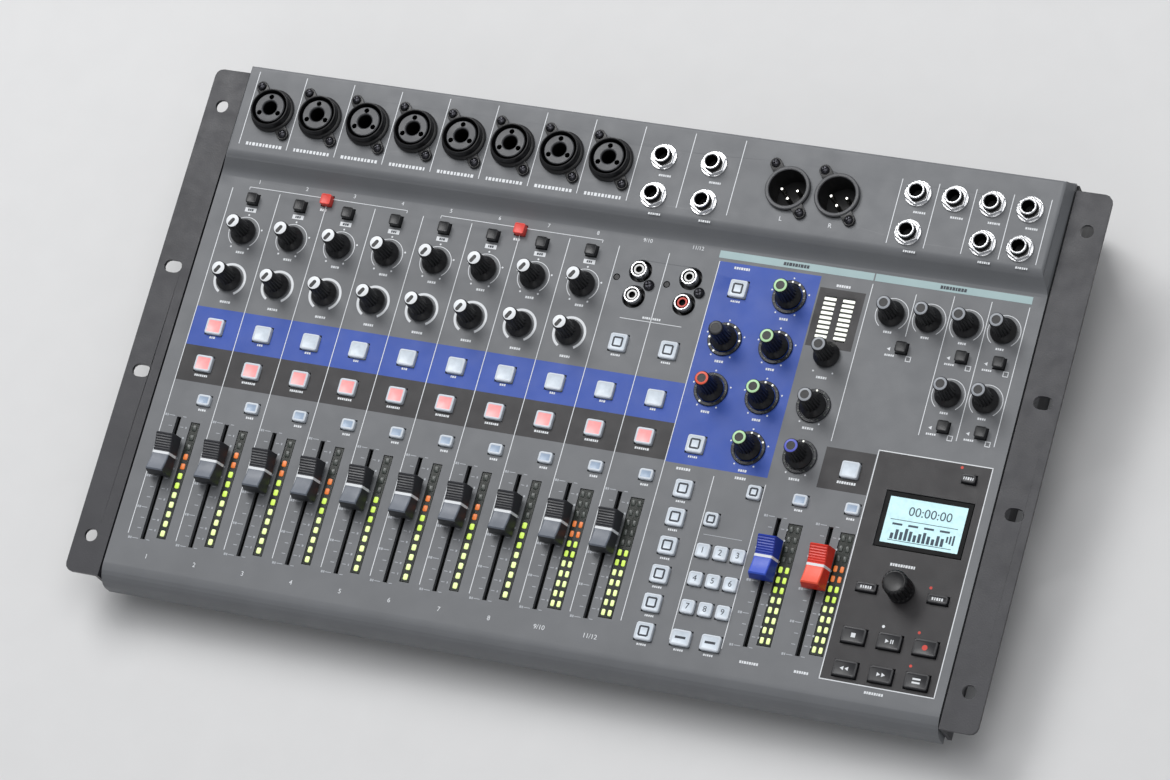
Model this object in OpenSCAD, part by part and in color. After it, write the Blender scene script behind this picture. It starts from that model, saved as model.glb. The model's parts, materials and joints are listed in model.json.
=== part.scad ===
/* [Layout across] */
// From the left side of the case to the middle of the first channel
first_col_in = 22.9; // [21:0.1:26]
// Distance between channel columns
channel_pitch = 26.7; // [26:0.1:28]
// Distance between the monitor columns at the right
monitor_pitch = 19.1; // [18.6:0.1:20]
// From the last monitor column to the right side of the case
last_col_in = 17.7; // [17:0.1:22]
// Fader slot left of the middle of its channel
slot_off = 4.8; // [4.2:0.1:5.4]
// Fader slot left of the middle of the effects and master columns
main_slot_off = 2; // [1.6:0.1:2.4]
// Level meter right of the middle of its channel
meter_off = 5; // [4.6:0.1:5.4]
// Mute key right of the middle of its column
mute_off = 6.2; // [5.8:0.1:6.8]
// Phono socket right of the middle of its channel
phono_off = 1; // [0.6:0.1:1.4]
// Distance between the transport keys
transport_pitch = 18; // [17:0.1:19]
// Distance between the scene keys
scene_pitch = 9.1; // [8.8:0.05:9.4]

/* [Layout from front to rear] */
// Front of the lip to the middle of the fader travel
front_to_fader = 58.35; // [56:0.05:62]
// Middle of the fader travel to the mute keys
fader_to_mute = 43.15; // [43:0.05:47]
// Mute keys to the record keys
mute_to_record = 19; // [17:0.1:21]
// Record keys to the select keys
record_to_select = 20; // [18:0.1:22]
// Select keys to the compressor knobs
select_to_comp = 26.2; // [24:0.1:28]
// Compressor knobs to the gain knobs
comp_to_gain = 25.8; // [24:0.1:27]
// Gain knobs to the push switches
gain_to_switch = 18; // [17.5:0.1:20]
// Push switches to the foot of the step
switch_to_step = 11; // [10:0.1:13]
// Run of the curved step up to the socket deck
step_run = 12; // [10:0.1:14]
// Top of the step to the middle row of sockets
step_to_sockets = 22.7; // [22:0.1:26]
// Middle row of sockets to the rear
sockets_to_rear = 25.3; // [23:0.1:27]
// Distance between the knob rows of the strip section
strip_row_pitch = 26.4; // [25:0.1:27]
// Distance between the two monitor knob rows
monitor_row_gap = 36; // [34:0.1:38]
// Monitor knob to the push switch below it
monitor_switch_drop = 16.4; // [15.5:0.1:18]
// Distance between the keys of the mode column
mode_pitch = 14.7; // [14:0.1:15]
// Distance between the two rows of phone sockets
phone_row_gap = 20.5; // [19:0.1:20.6]
// Distance between the two phono sockets of a pair
phono_row_gap = 13.6; // [13:0.1:15]

/* [Case and cover] */
// Slope of the control panel against the table
tilt = 5; // [3:0.5:7]
// Height of the panel above the table at the select keys
panel_h = 42.1; // [41:0.1:50]
// Thickness of the moulded cover
plate_t = 2.5; // [2:0.1:3]
// Radius of the front lip
lip_r = 10.5; // [9:0.1:11]
// Depth of the front lip below the panel
lip_drop = 16; // [14:0.1:18]
// Rise of the socket deck above the panel
deck_h = 8; // [6:0.1:10]
// Taper of the deck's two sides
deck_side_in = 2.5; // [1:0.1:4]
// Taper of the deck's rear
deck_rear_in = 2; // [1:0.1:4]
// Rounding of the deck's rear edge
deck_edge_r = 2; // [1:0.1:3]
// Setback of the cover's sides from the case sides
cover_in = 1; // [0.6:0.1:1.6]
// Wall of the lower case
wall_t = 2.5; // [2:0.1:3.5]
// Floor of the lower case
floor_t = 3; // [2:0.1:4]
// Chamfer along the bottom edges of the case
case_chamfer = 4; // [2:0.1:6]
// Setback of the case front behind the lip
front_setback = 11; // [10.8:0.1:14]
// Height of the rubber feet
foot_h = 5; // [3:0.1:8]
// Diameter of the rubber feet
foot_d = 20; // [14:0.5:24]
// Distance of the feet from the case edges
foot_in = 26; // [18:0.5:34]

/* [Rack ears] */
// Width of an ear beside the case
ear_w = 18.8; // [17:0.1:24]
// Length of an ear
ear_l = 275; // [255:1:285]
// Sheet thickness of an ear
ear_t = 2; // [1.5:0.1:3]
// Depth of the flange that lies against the case
ear_flange = 18; // [14:0.5:20]
// Rounding of the outer corners of an ear
ear_corner_r = 4; // [2:0.1:6]
// From the case side to the rack holes
ear_hole_in = 10.05; // [9.5:0.05:11]
// Spacing of the outer rack holes along the ear
ear_outer_gap = 234.95; // [225:0.05:240]
// Spacing of the open rack slots along the ear
ear_inner_gap = 57.15; // [50:0.05:65]
// Radius of the rack holes
ear_hole_r = 3.4; // [3:0.1:3.6]
// End to end length of the rack slots
ear_slot_l = 9.8; // [8.5:0.1:11]
// Spacing of the screws that hold an ear
ear_screw_gap = 90; // [80:1:100]

/* [Knobs] */
// Radius of the knob skirt
knob_skirt_r = 6.6; // [5.8:0.05:6.8]
// Radius of the knob grip at its top
knob_grip_r = 3.8; // [3:0.1:4.2]
// Height of a knob above the panel
knob_h = 16.5; // [13:0.1:18]
// Radius of the knob stem in its control
stem_r = 3; // [2.5:0.05:3.3]
// Radius of the menu encoder's knob
encoder_r = 6.6; // [6:0.1:7.2]
// Height of the menu encoder's knob
encoder_h = 14; // [12:0.1:16]
// Gap under a knob skirt
skirt_gap = 0.8; // [0.5:0.1:1.2]
// Outer radius of the light rings round the strip knobs
light_ring_r = 8.7; // [8.2:0.1:9.2]
// Height of the light rings above the panel
light_ring_h = 1; // [0.6:0.1:1.4]

/* [Faders] */
// Travel of a fader
fader_travel = 60; // [56:1:62]
// How far the faders stand above mid travel
fader_rest = 10.7; // [6:0.1:16]
// Width of a fader cap at its base
cap_w = 12; // [11:0.1:12.5]
// Width of a fader cap at its top
cap_top_w = 9; // [8:0.1:10]
// Length of a fader cap
cap_l = 21; // [18:0.1:22]
// Height of the cap's ends above the panel
cap_h = 11; // [10:0.1:13]
// Depth of the finger hollow in the cap
cap_dip = 2.4; // [1.5:0.1:3]
// Width of the pointer groove across the cap
cap_line_w = 1.2; // [0.8:0.1:1.6]
// Gap between a cap and the panel
cap_gap = 2.5; // [2.1:0.1:3]
// Length of the lever along its slot
lever_l = 5; // [4:0.1:6]
// Thickness of the lever
lever_t = 1.2; // [1:0.1:1.5]
// Width of the slots in the panel
slot_w = 2.4; // [2.2:0.1:3]

/* [Keys and switches] */
// Width of the lit channel keys
key_w = 9.2; // [8.6:0.1:10]
// Length of the lit channel keys
key_l = 8.4; // [8:0.1:9.2]
// Width of the mute keys
mute_w = 7.2; // [6.8:0.1:7.6]
// Length of the mute keys
mute_l = 5.6; // [5:0.1:6.2]
// Side of the mode keys
mode_w = 9; // [8.4:0.1:9.6]
// Width of the scene keys
scene_w = 7; // [6.4:0.1:7.4]
// Width of the transport keys
transport_w = 12; // [11:0.1:13]
// Length of the transport keys
transport_l = 8; // [7:0.1:9]
// Width of the two keys beside the encoder
side_key_w = 10.4; // [9.6:0.1:11]
// Length of the two keys beside the encoder
side_key_l = 4.4; // [4:0.1:5]
// Height of the keys above the panel
key_h = 1.8; // [1.4:0.1:2.4]
// Travel of the keys
key_travel = 1; // [0.8:0.1:1.3]
// Corner radius of the keys
key_corner_r = 1.2; // [0.6:0.1:1.5]
// Side of the push switch caps
switch_w = 5.6; // [5.2:0.1:6.4]
// Height of the push switch caps
switch_h = 3.5; // [3:0.1:4.2]
// Travel of the push switches
switch_travel = 1.5; // [1.2:0.1:1.8]

/* [Sockets] */
// Radius of the round flange of a combination or line socket
round_flange_r = 11.5; // [11.4:0.1:12]
// Radius of the socket body in its deck hole
round_body_r = 10.6; // [10.4:0.1:11]
// Height of the combination socket's collar
combo_rim = 6; // [4:0.1:7]
// Radius of the combination socket's collar
combo_collar_r = 10.2; // [9.9:0.1:10.4]
// Angle of the first screw tab from the right
tab_angle = 128; // [120:1:136]
// Height of the line output's rim
xlr_rim = 2.2; // [1.6:0.1:3]
// Radius of the screw tabs' centres
tab_circle_r = 15.2; // [14.8:0.1:15.6]
// Radius of a screw tab
tab_r = 3; // [2.8:0.1:3.2]
// Thickness of a screw tab
tab_t = 1.6; // [1.2:0.1:2]
// Depth of the sockets below the deck
socket_depth = 26; // [24:0.5:28]
// Radius of the phone plug bore
phone_bore_r = 3.2; // [3.18:0.01:3.3]
// Radius of the wider mouth of a phone plug bore
phone_mouth_r = 3.6; // [3.5:0.01:3.8]
// Height of a phone socket's bushing above the deck
bushing_h = 5.4; // [4.5:0.1:6]
// Radius of the threaded bushing of a phone socket
bushing_r = 4.5; // [4.3:0.1:4.8]
// Side of a phone socket body
phone_body_w = 13; // [12:0.1:13.4]
// Distance between the two line outputs
xlr_pitch = 25.8; // [25:0.1:27]
// Radius of the plug recess of a line output
xlr_recess_r = 9.5; // [9.3:0.1:9.8]
// Depth of the plug recess of a line output
xlr_recess_depth = 14; // [12:0.1:16]
// Radius of a line output pin
xlr_pin_r = 1.2; // [1:0.1:1.3]
// Circle of the line output pins
xlr_pin_circle_r = 4.1; // [3.8:0.1:4.4]
// Radius of a phono socket barrel
phono_r = 4.15; // [4.1:0.01:4.2]
// Height of a phono barrel above the panel
phono_h = 3.2; // [2.6:0.1:4]
// Depth of the phono recess below the panel
phono_recess = 5.5; // [5:0.1:6]
// Radius of the recess round a phono socket
phono_hole_r = 6; // [5.8:0.1:6.2]

/* [Inside] */
// Depth of the control board below the panel
board_depth = 12; // [11.5:0.1:13]
// Thickness of the circuit boards
board_t = 1.6; // [1.2:0.1:2]
// Radius of the screw posts
post_r = 3.6; // [3.2:0.1:4]
// Width of the display window
lcd_w = 44; // [40:0.5:45]
// Length of the display window
lcd_l = 28; // [25:0.5:30]

/* [Fits] */
// Gap round pieces that move in an opening
move_gap = 0.35; // [0.3:0.05:0.45]
// Gap round pieces that sit fixed in an opening
seat_gap = 0.2; // [0.1:0.05:0.3]
// Radial gap of a turning stem
turn_gap = 0.08; // [0.05:0.01:0.1]
// Gap of soldered pieces above their board
solder_gap = 0.1; // [0.05:0.05:0.2]
// Gap between faces that rest on each other
face_gap = 0.05; // [0.02:0.01:0.1]

/* [Hidden] */
$fn = 48;
eps = 0.5;
channels = 10;
mono_channels = 8;

case_w = first_col_in + 13 * channel_pitch + 3 * monitor_pitch + last_col_in;
half_w = case_w / 2;
cover_half = half_w - cover_in;

select_y = 0;
record_y = select_y - record_to_select;
mute_y = record_y - mute_to_record;
fader_y = mute_y - fader_to_mute;
front_y = fader_y - front_to_fader;
comp_y = select_y + select_to_comp;
gain_y = comp_y + comp_to_gain;
switch_y = gain_y + gain_to_switch;
step_y = switch_y + switch_to_step;
deck_y = step_y + step_run;
socket_y = deck_y + step_to_sockets;
rear_y = socket_y + sockets_to_rear;
strip_y = gain_y + 9.8;
monitor_y = gain_y + 9;
monitor_y2 = monitor_y - monitor_row_gap;
phono_y = gain_y + 11.6;
lcd_y = fader_y + 41.6;
encoder_y = fader_y + 7.6;
transport_y1 = fader_y - 18.4;
transport_y2 = fader_y - 35.1;
mode_y = fader_y + 39.15;
scene_y = fader_y + 10.25;
scene_row_pitch = 14.4;

board_z = -board_depth;
jack_board_z = deck_h - socket_depth;
case_front_y = front_y + front_setback;
rim_z = -plate_t;

// A point of the panel's own frame, as distance to the rear and height over the table
function stand(y, z) = [
    y * cos(tilt) - z * sin(tilt) + shift_y,
    y * sin(tilt) + z * cos(tilt) + panel_h
];
rear_proud = 2.4;
front_reach = (front_y + lip_r) * cos(tilt) + lip_r * sin(tilt) - lip_r;
rear_reach = rear_y * cos(tilt) - rim_z * sin(tilt) + rear_proud;
shift_y = -(front_reach + rear_reach) / 2;
wall_front = stand(case_front_y, rim_z)[0];
wall_rear = stand(rear_y, rim_z)[0];
// Foot of the lip's end cheeks, just in front of the case
cheek_back = (wall_front - seat_gap - shift_y - lip_drop * sin(tilt)) / cos(tilt);
socket_z = foot_h + 19;

function col(i) = -half_w + first_col_in + channel_pitch * i;
function mon(k) = col(13) + monitor_pitch * k;
function strip_row(k) = strip_y - strip_row_pitch * k;
function slot_x(i) = col(i) - (i < channels ? slot_off : main_slot_off);
fader_cols = [for (i = [0:channels - 1]) i, 12, 13];
rec_x = mon(2.15);
lcd_x = rec_x + 1.6;

function arc(cx, cy, r, a0, a1, n = 6) = [
    for (i = [0:n]) let (a = a0 + (a1 - a0) * i / n) [cx + r * cos(a), cy + r * sin(a)]
];
function rounded(w, l, r) = concat(
    arc(w / 2 - r, l / 2 - r, r, 0, 90, 3),
    arc(r - w / 2, l / 2 - r, r, 90, 180, 3),
    arc(r - w / 2, r - l / 2, r, 180, 270, 3),
    arc(w / 2 - r, r - l / 2, r, 270, 360, 3)
);

combo_places = [for (i = [0:mono_channels - 1]) [col(i), socket_y]];
xlr_places = [for (s = [-1, 1]) [col(11) + 0.6 + s * xlr_pitch / 2, socket_y - 1.5]];
phone_upper = socket_y + 5.7;
phone_lower = phone_upper - phone_row_gap;
phone_places = concat(
    [for (i = [8, 9]) [col(i), phone_upper]],
    [for (i = [8, 9]) [col(i), phone_lower]],
    [for (k = [0:3]) [mon(k), phone_upper]],
    [for (k = [0, 2, 3]) [mon(k), phone_lower]]
);
phono_places = [for (i = [8, 9], k = [0, 1]) [col(i) + phono_off, phono_y - phono_row_gap * k]];
phono_mid_y = phono_y - phono_row_gap / 2;
phono_screw_off = 7.4;
phono_peg_off = 10.5;

gain_places = [for (i = [0:mono_channels - 1]) [col(i), gain_y]];
comp_places = [for (i = [0:mono_channels - 1]) [col(i), comp_y]];
strip_places = [
    [col(11), strip_row(0)],
    [col(10), strip_row(1)],
    [col(11), strip_row(1)],
    [col(10), strip_row(2)],
    [col(11), strip_row(2)],
    [col(11), strip_row(3)]
];
output_places = [for (k = [1:3]) [col(12), strip_row(k)]];
monitor_places = [for (k = [0:3]) [mon(k), monitor_y], [mon(2), monitor_y2], [mon(3), monitor_y2]];
encoder_place = [rec_x - 0.9, encoder_y];
knob_places = concat(gain_places, comp_places, strip_places, output_places, monitor_places);
// The knobs that stand in a ring of small lights
ring_places = concat(strip_places, [output_places[1], output_places[2]]);
strip_names = ["high", "frequency", "mid", "effects", "low", "pan"];
// Where each knob's pointer stands, as degrees to the left of straight up
low_turn = 150;
strip_turns = [0, 0, 0, low_turn, 0, 0];

// Each key is a place and a size
select_keys = [for (i = [0:channels - 1]) [col(i), select_y, key_w, key_l]];
record_keys = [for (i = concat([for (k = [0:channels - 1]) k], [13])) [col(i), record_y, key_w, key_l]];
mute_keys = [for (i = fader_cols) [col(i) + mute_off, mute_y, mute_w, mute_l]];
usb_keys = [for (i = [8, 9]) [col(i), comp_y - 1, mode_w, mode_w]];
strip_keys = [for (k = [0, 3]) [col(10), strip_row(k) - 0.8 * k, mode_w, mode_w]];
fader_mode_keys = [for (k = [0:5]) [col(10), mode_y - mode_pitch * k, mode_w, mode_w]];
scene_x = col(10) + 18.2;
// The two front keys of the scene block, below its first row
scene_front_drop = 44.6;
scene_keys = concat(
    [[scene_x + 17.6, mute_y, scene_w, scene_w], [scene_x, mode_y - 12.9, scene_w, scene_w]],
    [for (r = [0:2], c = [0:2]) [scene_x + scene_pitch * c, scene_y - scene_row_pitch * r, scene_w, scene_w]],
    [for (c = [0, 1]) [scene_x + 0.8 + 15.4 * c, scene_y - scene_front_drop, mode_w + 1, scene_w + 1]]
);
// The key behind the display window
window_key_rise = 25.6;
recorder_keys = concat(
    [[rec_x + transport_pitch, lcd_y + window_key_rise, scene_w, side_key_l]],
    [for (s = [-1, 1]) [rec_x + s * transport_pitch, encoder_y - 1.6, side_key_w, side_key_l]],
    [for (y = [transport_y1, transport_y2], s = [-1:1])
        [rec_x + s * transport_pitch, y, transport_w, transport_l]]
);
red_switches = [for (i = [1.5, 5.5]) [col(i), switch_y + 5.2]];
black_switches = concat(
    [for (i = [0:mono_channels - 1]) [col(i), switch_y]],
    [[mon(0.5), monitor_y - monitor_switch_drop]],
    [for (k = [2.1, 3.1], y = [monitor_y, monitor_y2]) [mon(k), y - monitor_switch_drop]]
);
switch_places = concat(black_switches, red_switches);
channel_key_list = concat(select_keys, record_keys, mute_keys);
mode_key_list = concat(usb_keys, strip_keys, fader_mode_keys, scene_keys);

// Level meters, each with its middle and width
meter_l = fader_travel + 1.5;
single_meter_w = 4.4;
double_meter_w = 6.6;
meters = concat(
    [for (i = [0:mono_channels - 1]) [col(i) + meter_off, single_meter_w]],
    [for (i = [8, 9]) [col(i) + meter_off, double_meter_w]],
    [for (i = [12, 13]) [slot_x(i) + 9, double_meter_w]]
);
level_meter_l = 22;
level_meter_w = 5;
level_meter_x = [for (s = [-1, 1]) col(12) - 1 + s * 4.8];
level_meter_y = strip_y - 7.5;

post_rows = [fader_y - 38, comp_y + comp_to_gain / 2];
post_places = [for (i = [0.51, 4.51, 8.52, 12.56], y = post_rows) [col(i), y]];
screw_r = 1.5;
screw_hole_r = screw_r + seat_gap;
screw_head_r = 2.8;
post_grip = 6;

NODES = concat(
    ["top_cover", "lower_case", "rack_ears", "rubber_feet", "fasteners", "circuit_boards"],
    ["displays", "combo_sockets", "phone_sockets", "line_sockets", "rear_sockets"],
    ["channel_keys", "mode_keys", "recorder_keys", "push_switches", "power_switch"],
    [for (i = [1:mono_channels]) str("gain_knob_", i)],
    [for (i = [1:mono_channels]) str("comp_knob_", i)],
    [for (n = strip_names) str(n, "_knob")],
    [for (i = [1:3]) str("output_knob_", i)],
    [for (i = [1:6]) str("monitor_knob_", i)],
    ["menu_encoder"],
    [for (i = [1:channels]) str("channel_fader_", i)],
    ["effects_fader", "master_fader"]
);
node = "all";

// Puts what is drawn in the panel's own frame where the panel stands over the table
module on_panel() {
    translate([0, shift_y, panel_h]) rotate([tilt, 0, 0]) children();
}

module place(p, z = 0) {
    translate([p[0], p[1], z]) children();
}

// A bar along X whose outline is given as distance to the rear and height
module across(points, w) {
    rotate([90, 0, 90]) linear_extrude(w, center = true) polygon(points);
}

// A bar along Y whose outline is given as width and height
module along(points, y0, y1) {
    translate([0, y1, 0]) rotate([90, 0, 0]) linear_extrude(y1 - y0) polygon(points);
}

module block(size, z0, z1, r = 0) {
    translate([0, 0, z0]) linear_extrude(z1 - z0)
        if (r > 0) polygon(rounded(size[0], size[1], r));
        else square(size, center = true);
}

module rod(r, z0, z1) {
    translate([0, 0, z0]) cylinder(r = r, h = z1 - z0);
}

// The S-shaped rise of the step, from its foot to the deck
function step_curve(dy, dz, n = 8) = [
    for (i = [0:n]) [step_y + step_run * i / n + dy, deck_h * (1 - cos(180 * i / n)) / 2 + dz]
];

function deck_outline(inset) = concat(
    [[step_y + 0.45 * inset, rim_z - inset]],
    step_curve(0.45 * inset, -inset),
    arc(rear_y - deck_rear_in - deck_edge_r - inset, deck_h - deck_edge_r - inset, deck_edge_r, 90, 0),
    [[rear_y - inset, rim_z], [rear_y - inset, rim_z - inset]]
);

function deck_section(inset) = concat(
    [[cover_half - inset, rim_z - inset], [cover_half - inset, 0]],
    arc(cover_half - deck_side_in - deck_edge_r - inset, deck_h - deck_edge_r - inset, deck_edge_r, 0, 90),
    arc(deck_side_in + deck_edge_r + inset - cover_half, deck_h - deck_edge_r - inset, deck_edge_r, 90, 180),
    [[inset - cover_half, 0], [inset - cover_half, rim_z - inset]]
);

module deck_form(inset) {
    intersection() {
        across(deck_outline(inset), case_w);
        along(deck_section(inset), step_y - 1, rear_y);
    }
}

lip_outline = concat([[front_y, -lip_drop]], arc(front_y + lip_r, -lip_r, lip_r, 180, 90, 8));
lip_inner = arc(front_y + lip_r, -lip_r, lip_r - plate_t, 90, 180, 8);

module cover_shell() {
    lip_end = 2;
    difference() {
        union() {
            across(concat(
                lip_outline,
                [[rear_y, 0], [rear_y, rim_z]],
                lip_inner,
                [[front_y + plate_t, -lip_drop]]
            ), 2 * cover_half);
            for (s = [-1, 1]) translate([s * (cover_half - lip_end / 2), 0, 0])
                across(concat(lip_outline, [[cheek_back, -lip_drop]]), lip_end);
            deck_form(0);
        }
        deck_form(plate_t);
    }
}

module key_hole(k) {
    place(k) block([k[2] + 2 * move_gap, k[3] + 2 * move_gap], -plate_t - eps, eps);
}

module fader_slot() {
    block([slot_w, fader_travel + lever_l + 2 * move_gap], -plate_t - eps, eps);
}

// Holes of the sockets in the deck
module deck_holes() {
    low = deck_h - plate_t - eps;
    high = deck_h + eps;
    for (p = concat(combo_places, xlr_places)) place(p) {
        rod(round_body_r + seat_gap, low, high);
        for (s = [-1, 1]) tab_place(s) rod(screw_hole_r, low, high);
    }
    for (p = phone_places) place(p) rod(bushing_r + seat_gap, low, high);
}

module tab_place(s) {
    rotate(tab_angle + (s > 0 ? 0 : 180)) translate([tab_circle_r, 0, 0]) children();
}

// Holes of the controls, keys, meters and phono sockets in the panel
module panel_holes() {
    for (p = concat(knob_places, [encoder_place])) place(p) rod(stem_r + 0.8, -plate_t - eps, eps);
    for (k = concat(channel_key_list, mode_key_list, recorder_keys)) key_hole(k);
    for (p = switch_places) key_hole([p[0], p[1], switch_w, switch_w]);
    for (i = fader_cols) place([slot_x(i), fader_y]) fader_slot();
    for (m = meters) key_hole([m[0], fader_y, m[1], meter_l]);
    for (x = level_meter_x) key_hole([x, level_meter_y, level_meter_w, level_meter_l]);
    key_hole([lcd_x, lcd_y, lcd_w, lcd_l]);
    for (p = phono_places) place(p) rod(phono_hole_r, -plate_t - eps, eps);
    for (i = [8, 9]) {
        place([col(i) + phono_screw_off, phono_mid_y]) rod(screw_hole_r, -plate_t - eps, eps);
        place([col(i) - phono_peg_off, phono_mid_y + 2]) rod(1.6 + seat_gap, -plate_t - eps, eps);
    }
}

module top_cover() {
    color([0.44, 0.45, 0.46]) on_panel() difference() {
        union() {
            cover_shell();
            for (p = post_places) place(p) rod(post_r, board_z, -plate_t / 2);
        }
        deck_holes();
        panel_holes();
        for (p = post_places) place(p) rod(screw_hole_r, board_z - eps, rim_z - 1);
    }
}

module case_outline(inset, top) {
    low = foot_h + (inset > 0 ? floor_t : 0);
    c = max(case_chamfer - inset, 0.5);
    front = wall_front + inset;
    back = wall_rear - inset;
    rim_front = stand(case_front_y + inset, rim_z + top)[1];
    rim_back = stand(rear_y - inset, rim_z + top)[1];
    across([
        [front + c, low], [back - c, low], [back, low + c],
        [back, rim_back], [front, rim_front], [front, low + c]
    ], case_w - 2 * inset);
}

module lower_case() {
    color([0.1, 0.1, 0.11]) difference() {
        union() {
            difference() {
                case_outline(0, -face_gap);
                case_outline(wall_t, 10);
            }
            intersection() {
                case_outline(0, -face_gap);
                on_panel() for (p = post_places) place(p) rod(post_r + 1, -80, board_z - board_t);
            }
        }
        on_panel() for (p = post_places) place(p) {
            rod(screw_hole_r, -80, board_z);
            rod(screw_head_r + seat_gap, -80, board_z - board_t - post_grip);
        }
        on_panel() ear_screw_places() rod(screw_hole_r, -wall_t - 6, 6);
        rear_cutouts();
    }
}

// Rear wall places, seen along -Y, drawn with Z pointing out of the wall
module at_rear(x, z = socket_z) {
    translate([x, wall_rear, z]) rotate([-90, 0, 0]) children();
}
inlet_x = half_w - 30;
power_x = half_w - 56;
usb_x = half_w - 96;
card_x = half_w - 134;
pedal_x = half_w - 172;
lock_x = 40 - half_w;
inlet_w = 11;
usb_w = 12.4;
usb_l = 11.2;
card_w = 28;
card_l = 5;
inlet_hole_r = 3.2;
inlet_pin_r = 1;
inlet_depth = 9;
usb_hole = [8.6, 7.9];
usb_tongue = [5.6, 3.2];
usb_depth = 10;
card_mouth = [24.4, 2.6];
card_depth = 26;
// How far the rear socket bodies reach past their faces, sideways and inwards
rear_body_over = 3;
rear_body_back = 5;
power_slot_w = 10;
power_slot_l = 4.6;
power_throw = 4;
power_knob_w = power_slot_w - power_throw - 2 * move_gap;

module rear_cutouts() {
    deep = -wall_t - eps;
    at_rear(inlet_x) block([inlet_w + 2 * seat_gap, inlet_w + 2 * seat_gap], deep, eps);
    at_rear(power_x) block([power_slot_w, power_slot_l + 2 * move_gap], deep, eps);
    at_rear(usb_x) block([usb_w + 2 * seat_gap, usb_l + 2 * seat_gap], deep, eps);
    at_rear(card_x) block([card_w + 2 * seat_gap, card_l + 2 * seat_gap], deep, eps);
    at_rear(pedal_x) rod(bushing_r + seat_gap, deep, eps);
    at_rear(lock_x) block([7, 3], deep, eps);
}

module ear_screw_places() {
    for (s = [-1, 1], k = [-1:1])
        translate([s * half_w, k * ear_screw_gap, -ear_flange * 0.45]) rotate([0, s * 90, 0]) children();
}

module one_ear() {
    outer = half_w + ear_w;
    difference() {
        intersection() {
            along([
                [half_w, 0], [outer, 0], [outer, -ear_t], [half_w + ear_t, -ear_t],
                [half_w + ear_t, -ear_flange], [half_w, -ear_flange]
            ], -ear_l / 2, ear_l / 2);
            translate([outer - case_w / 4, 0, 0])
                block([case_w / 2, ear_l], -ear_flange - 1, 1, ear_corner_r);
        }
        for (s = [-1, 1]) {
            place([half_w + ear_hole_in, s * ear_outer_gap / 2]) rod(ear_hole_r, -ear_t - eps, eps);
            place([half_w + ear_hole_in, s * ear_inner_gap / 2])
                block([ear_slot_l, 2 * ear_hole_r], -ear_t - eps, eps, ear_hole_r - 0.01);
        }
    }
}

module rack_ears() {
    color([0.2, 0.2, 0.21]) on_panel() difference() {
        union() {
            one_ear();
            mirror([1, 0, 0]) one_ear();
        }
        ear_screw_places() rod(screw_hole_r, -eps, ear_t + eps);
    }
}

module rubber_feet() {
    color([0.06, 0.06, 0.06])
        for (s = [-1, 1], y = [wall_front + foot_in, wall_rear - foot_in])
            translate([s * (half_w - foot_in), y, 0])
                rotate_extrude() polygon([
                    [0, 0], [foot_d / 2 - 1.5, 0], [foot_d / 2 - 0.5, 1], [foot_d / 2, foot_h], [0, foot_h]
                ]);
}

// A pan head screw whose head sits on z = 0
module screw(l, head_r = screw_head_r, head_h = 1.8) {
    rotate_extrude() polygon([
        [0, -l], [screw_r - 0.4, -l], [screw_r, 0.6 - l], [screw_r, 0], [head_r, 0],
        [head_r, head_h * 0.4], [head_r * 0.6, head_h], [0, head_h]
    ]);
}

// A washer with a six-sided nut on it
module socket_nut() {
    washer_r = 6.8;
    washer_t = 0.7;
    nut_r = 6.6;
    nut_t = 1.4;
    difference() {
        union() {
            rod(washer_r, 0, washer_t);
            translate([0, 0, washer_t]) cylinder(r = nut_r, h = nut_t, $fn = 6);
        }
        rod(bushing_r + turn_gap, -eps, washer_t + nut_t + eps);
    }
}

module fasteners() {
    color([0.75, 0.76, 0.78]) {
        on_panel() {
            for (p = concat(combo_places, xlr_places)) place(p, deck_h + tab_t)
                for (s = [-1, 1]) tab_place(s) screw(7, 2.2, 1.2);
            for (p = phone_places) place(p, deck_h) socket_nut();
            for (i = [8, 9]) place([col(i) + phono_screw_off, phono_mid_y]) screw(7);
            for (p = post_places) place(p, board_z - board_t - post_grip)
                rotate([180, 0, 0]) screw(post_grip + board_t + 5, screw_head_r);
            ear_screw_places() translate([0, 0, ear_t]) screw(7);
        }
        at_rear(pedal_x) socket_nut();
    }
}

// A rotary control that carries a knob stem
module rotary() {
    difference() {
        union() {
            block([10, 11], board_z + solder_gap, board_z + 6);
            rod(stem_r + 1.2, board_z + 6, rim_z);
        }
        rod(stem_r + turn_gap, board_z + 1.5, 0);
    }
}

// The sliding control under a fader slot
module slider() {
    difference() {
        block([8.4, fader_travel + 16], board_z + solder_gap, board_z + 7);
        block([lever_t + 2 * move_gap, fader_travel + lever_l + 2 * move_gap], board_z + 1.5, board_z + 8);
    }
}

module circuit_boards() {
    inner = half_w - wall_t - 1;
    jack_board_l = rear_y - wall_t - deck_y - 6;
    color([0.12, 0.36, 0.2]) on_panel() {
        difference() {
            translate([0, (case_front_y + wall_t + 3 + step_y) / 2, 0])
                block([2 * inner, step_y - case_front_y - wall_t - 3], board_z - board_t, board_z);
            for (p = post_places) place(p) rod(screw_hole_r, board_z - board_t - eps, board_z + eps);
        }
        translate([0, (deck_y + rear_y - wall_t) / 2, 0])
            block([2 * inner, jack_board_l], jack_board_z - board_t, jack_board_z - solder_gap);
    }
    color([0.25, 0.25, 0.27]) on_panel() {
        for (p = concat(knob_places, [encoder_place])) place(p) rotary();
        for (i = fader_cols) place([slot_x(i), fader_y]) slider();
    }
}

module light_ring() {
    difference() {
        rod(light_ring_r, face_gap, light_ring_h);
        rod(knob_skirt_r + move_gap, -eps, light_ring_h + eps);
    }
}

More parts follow.
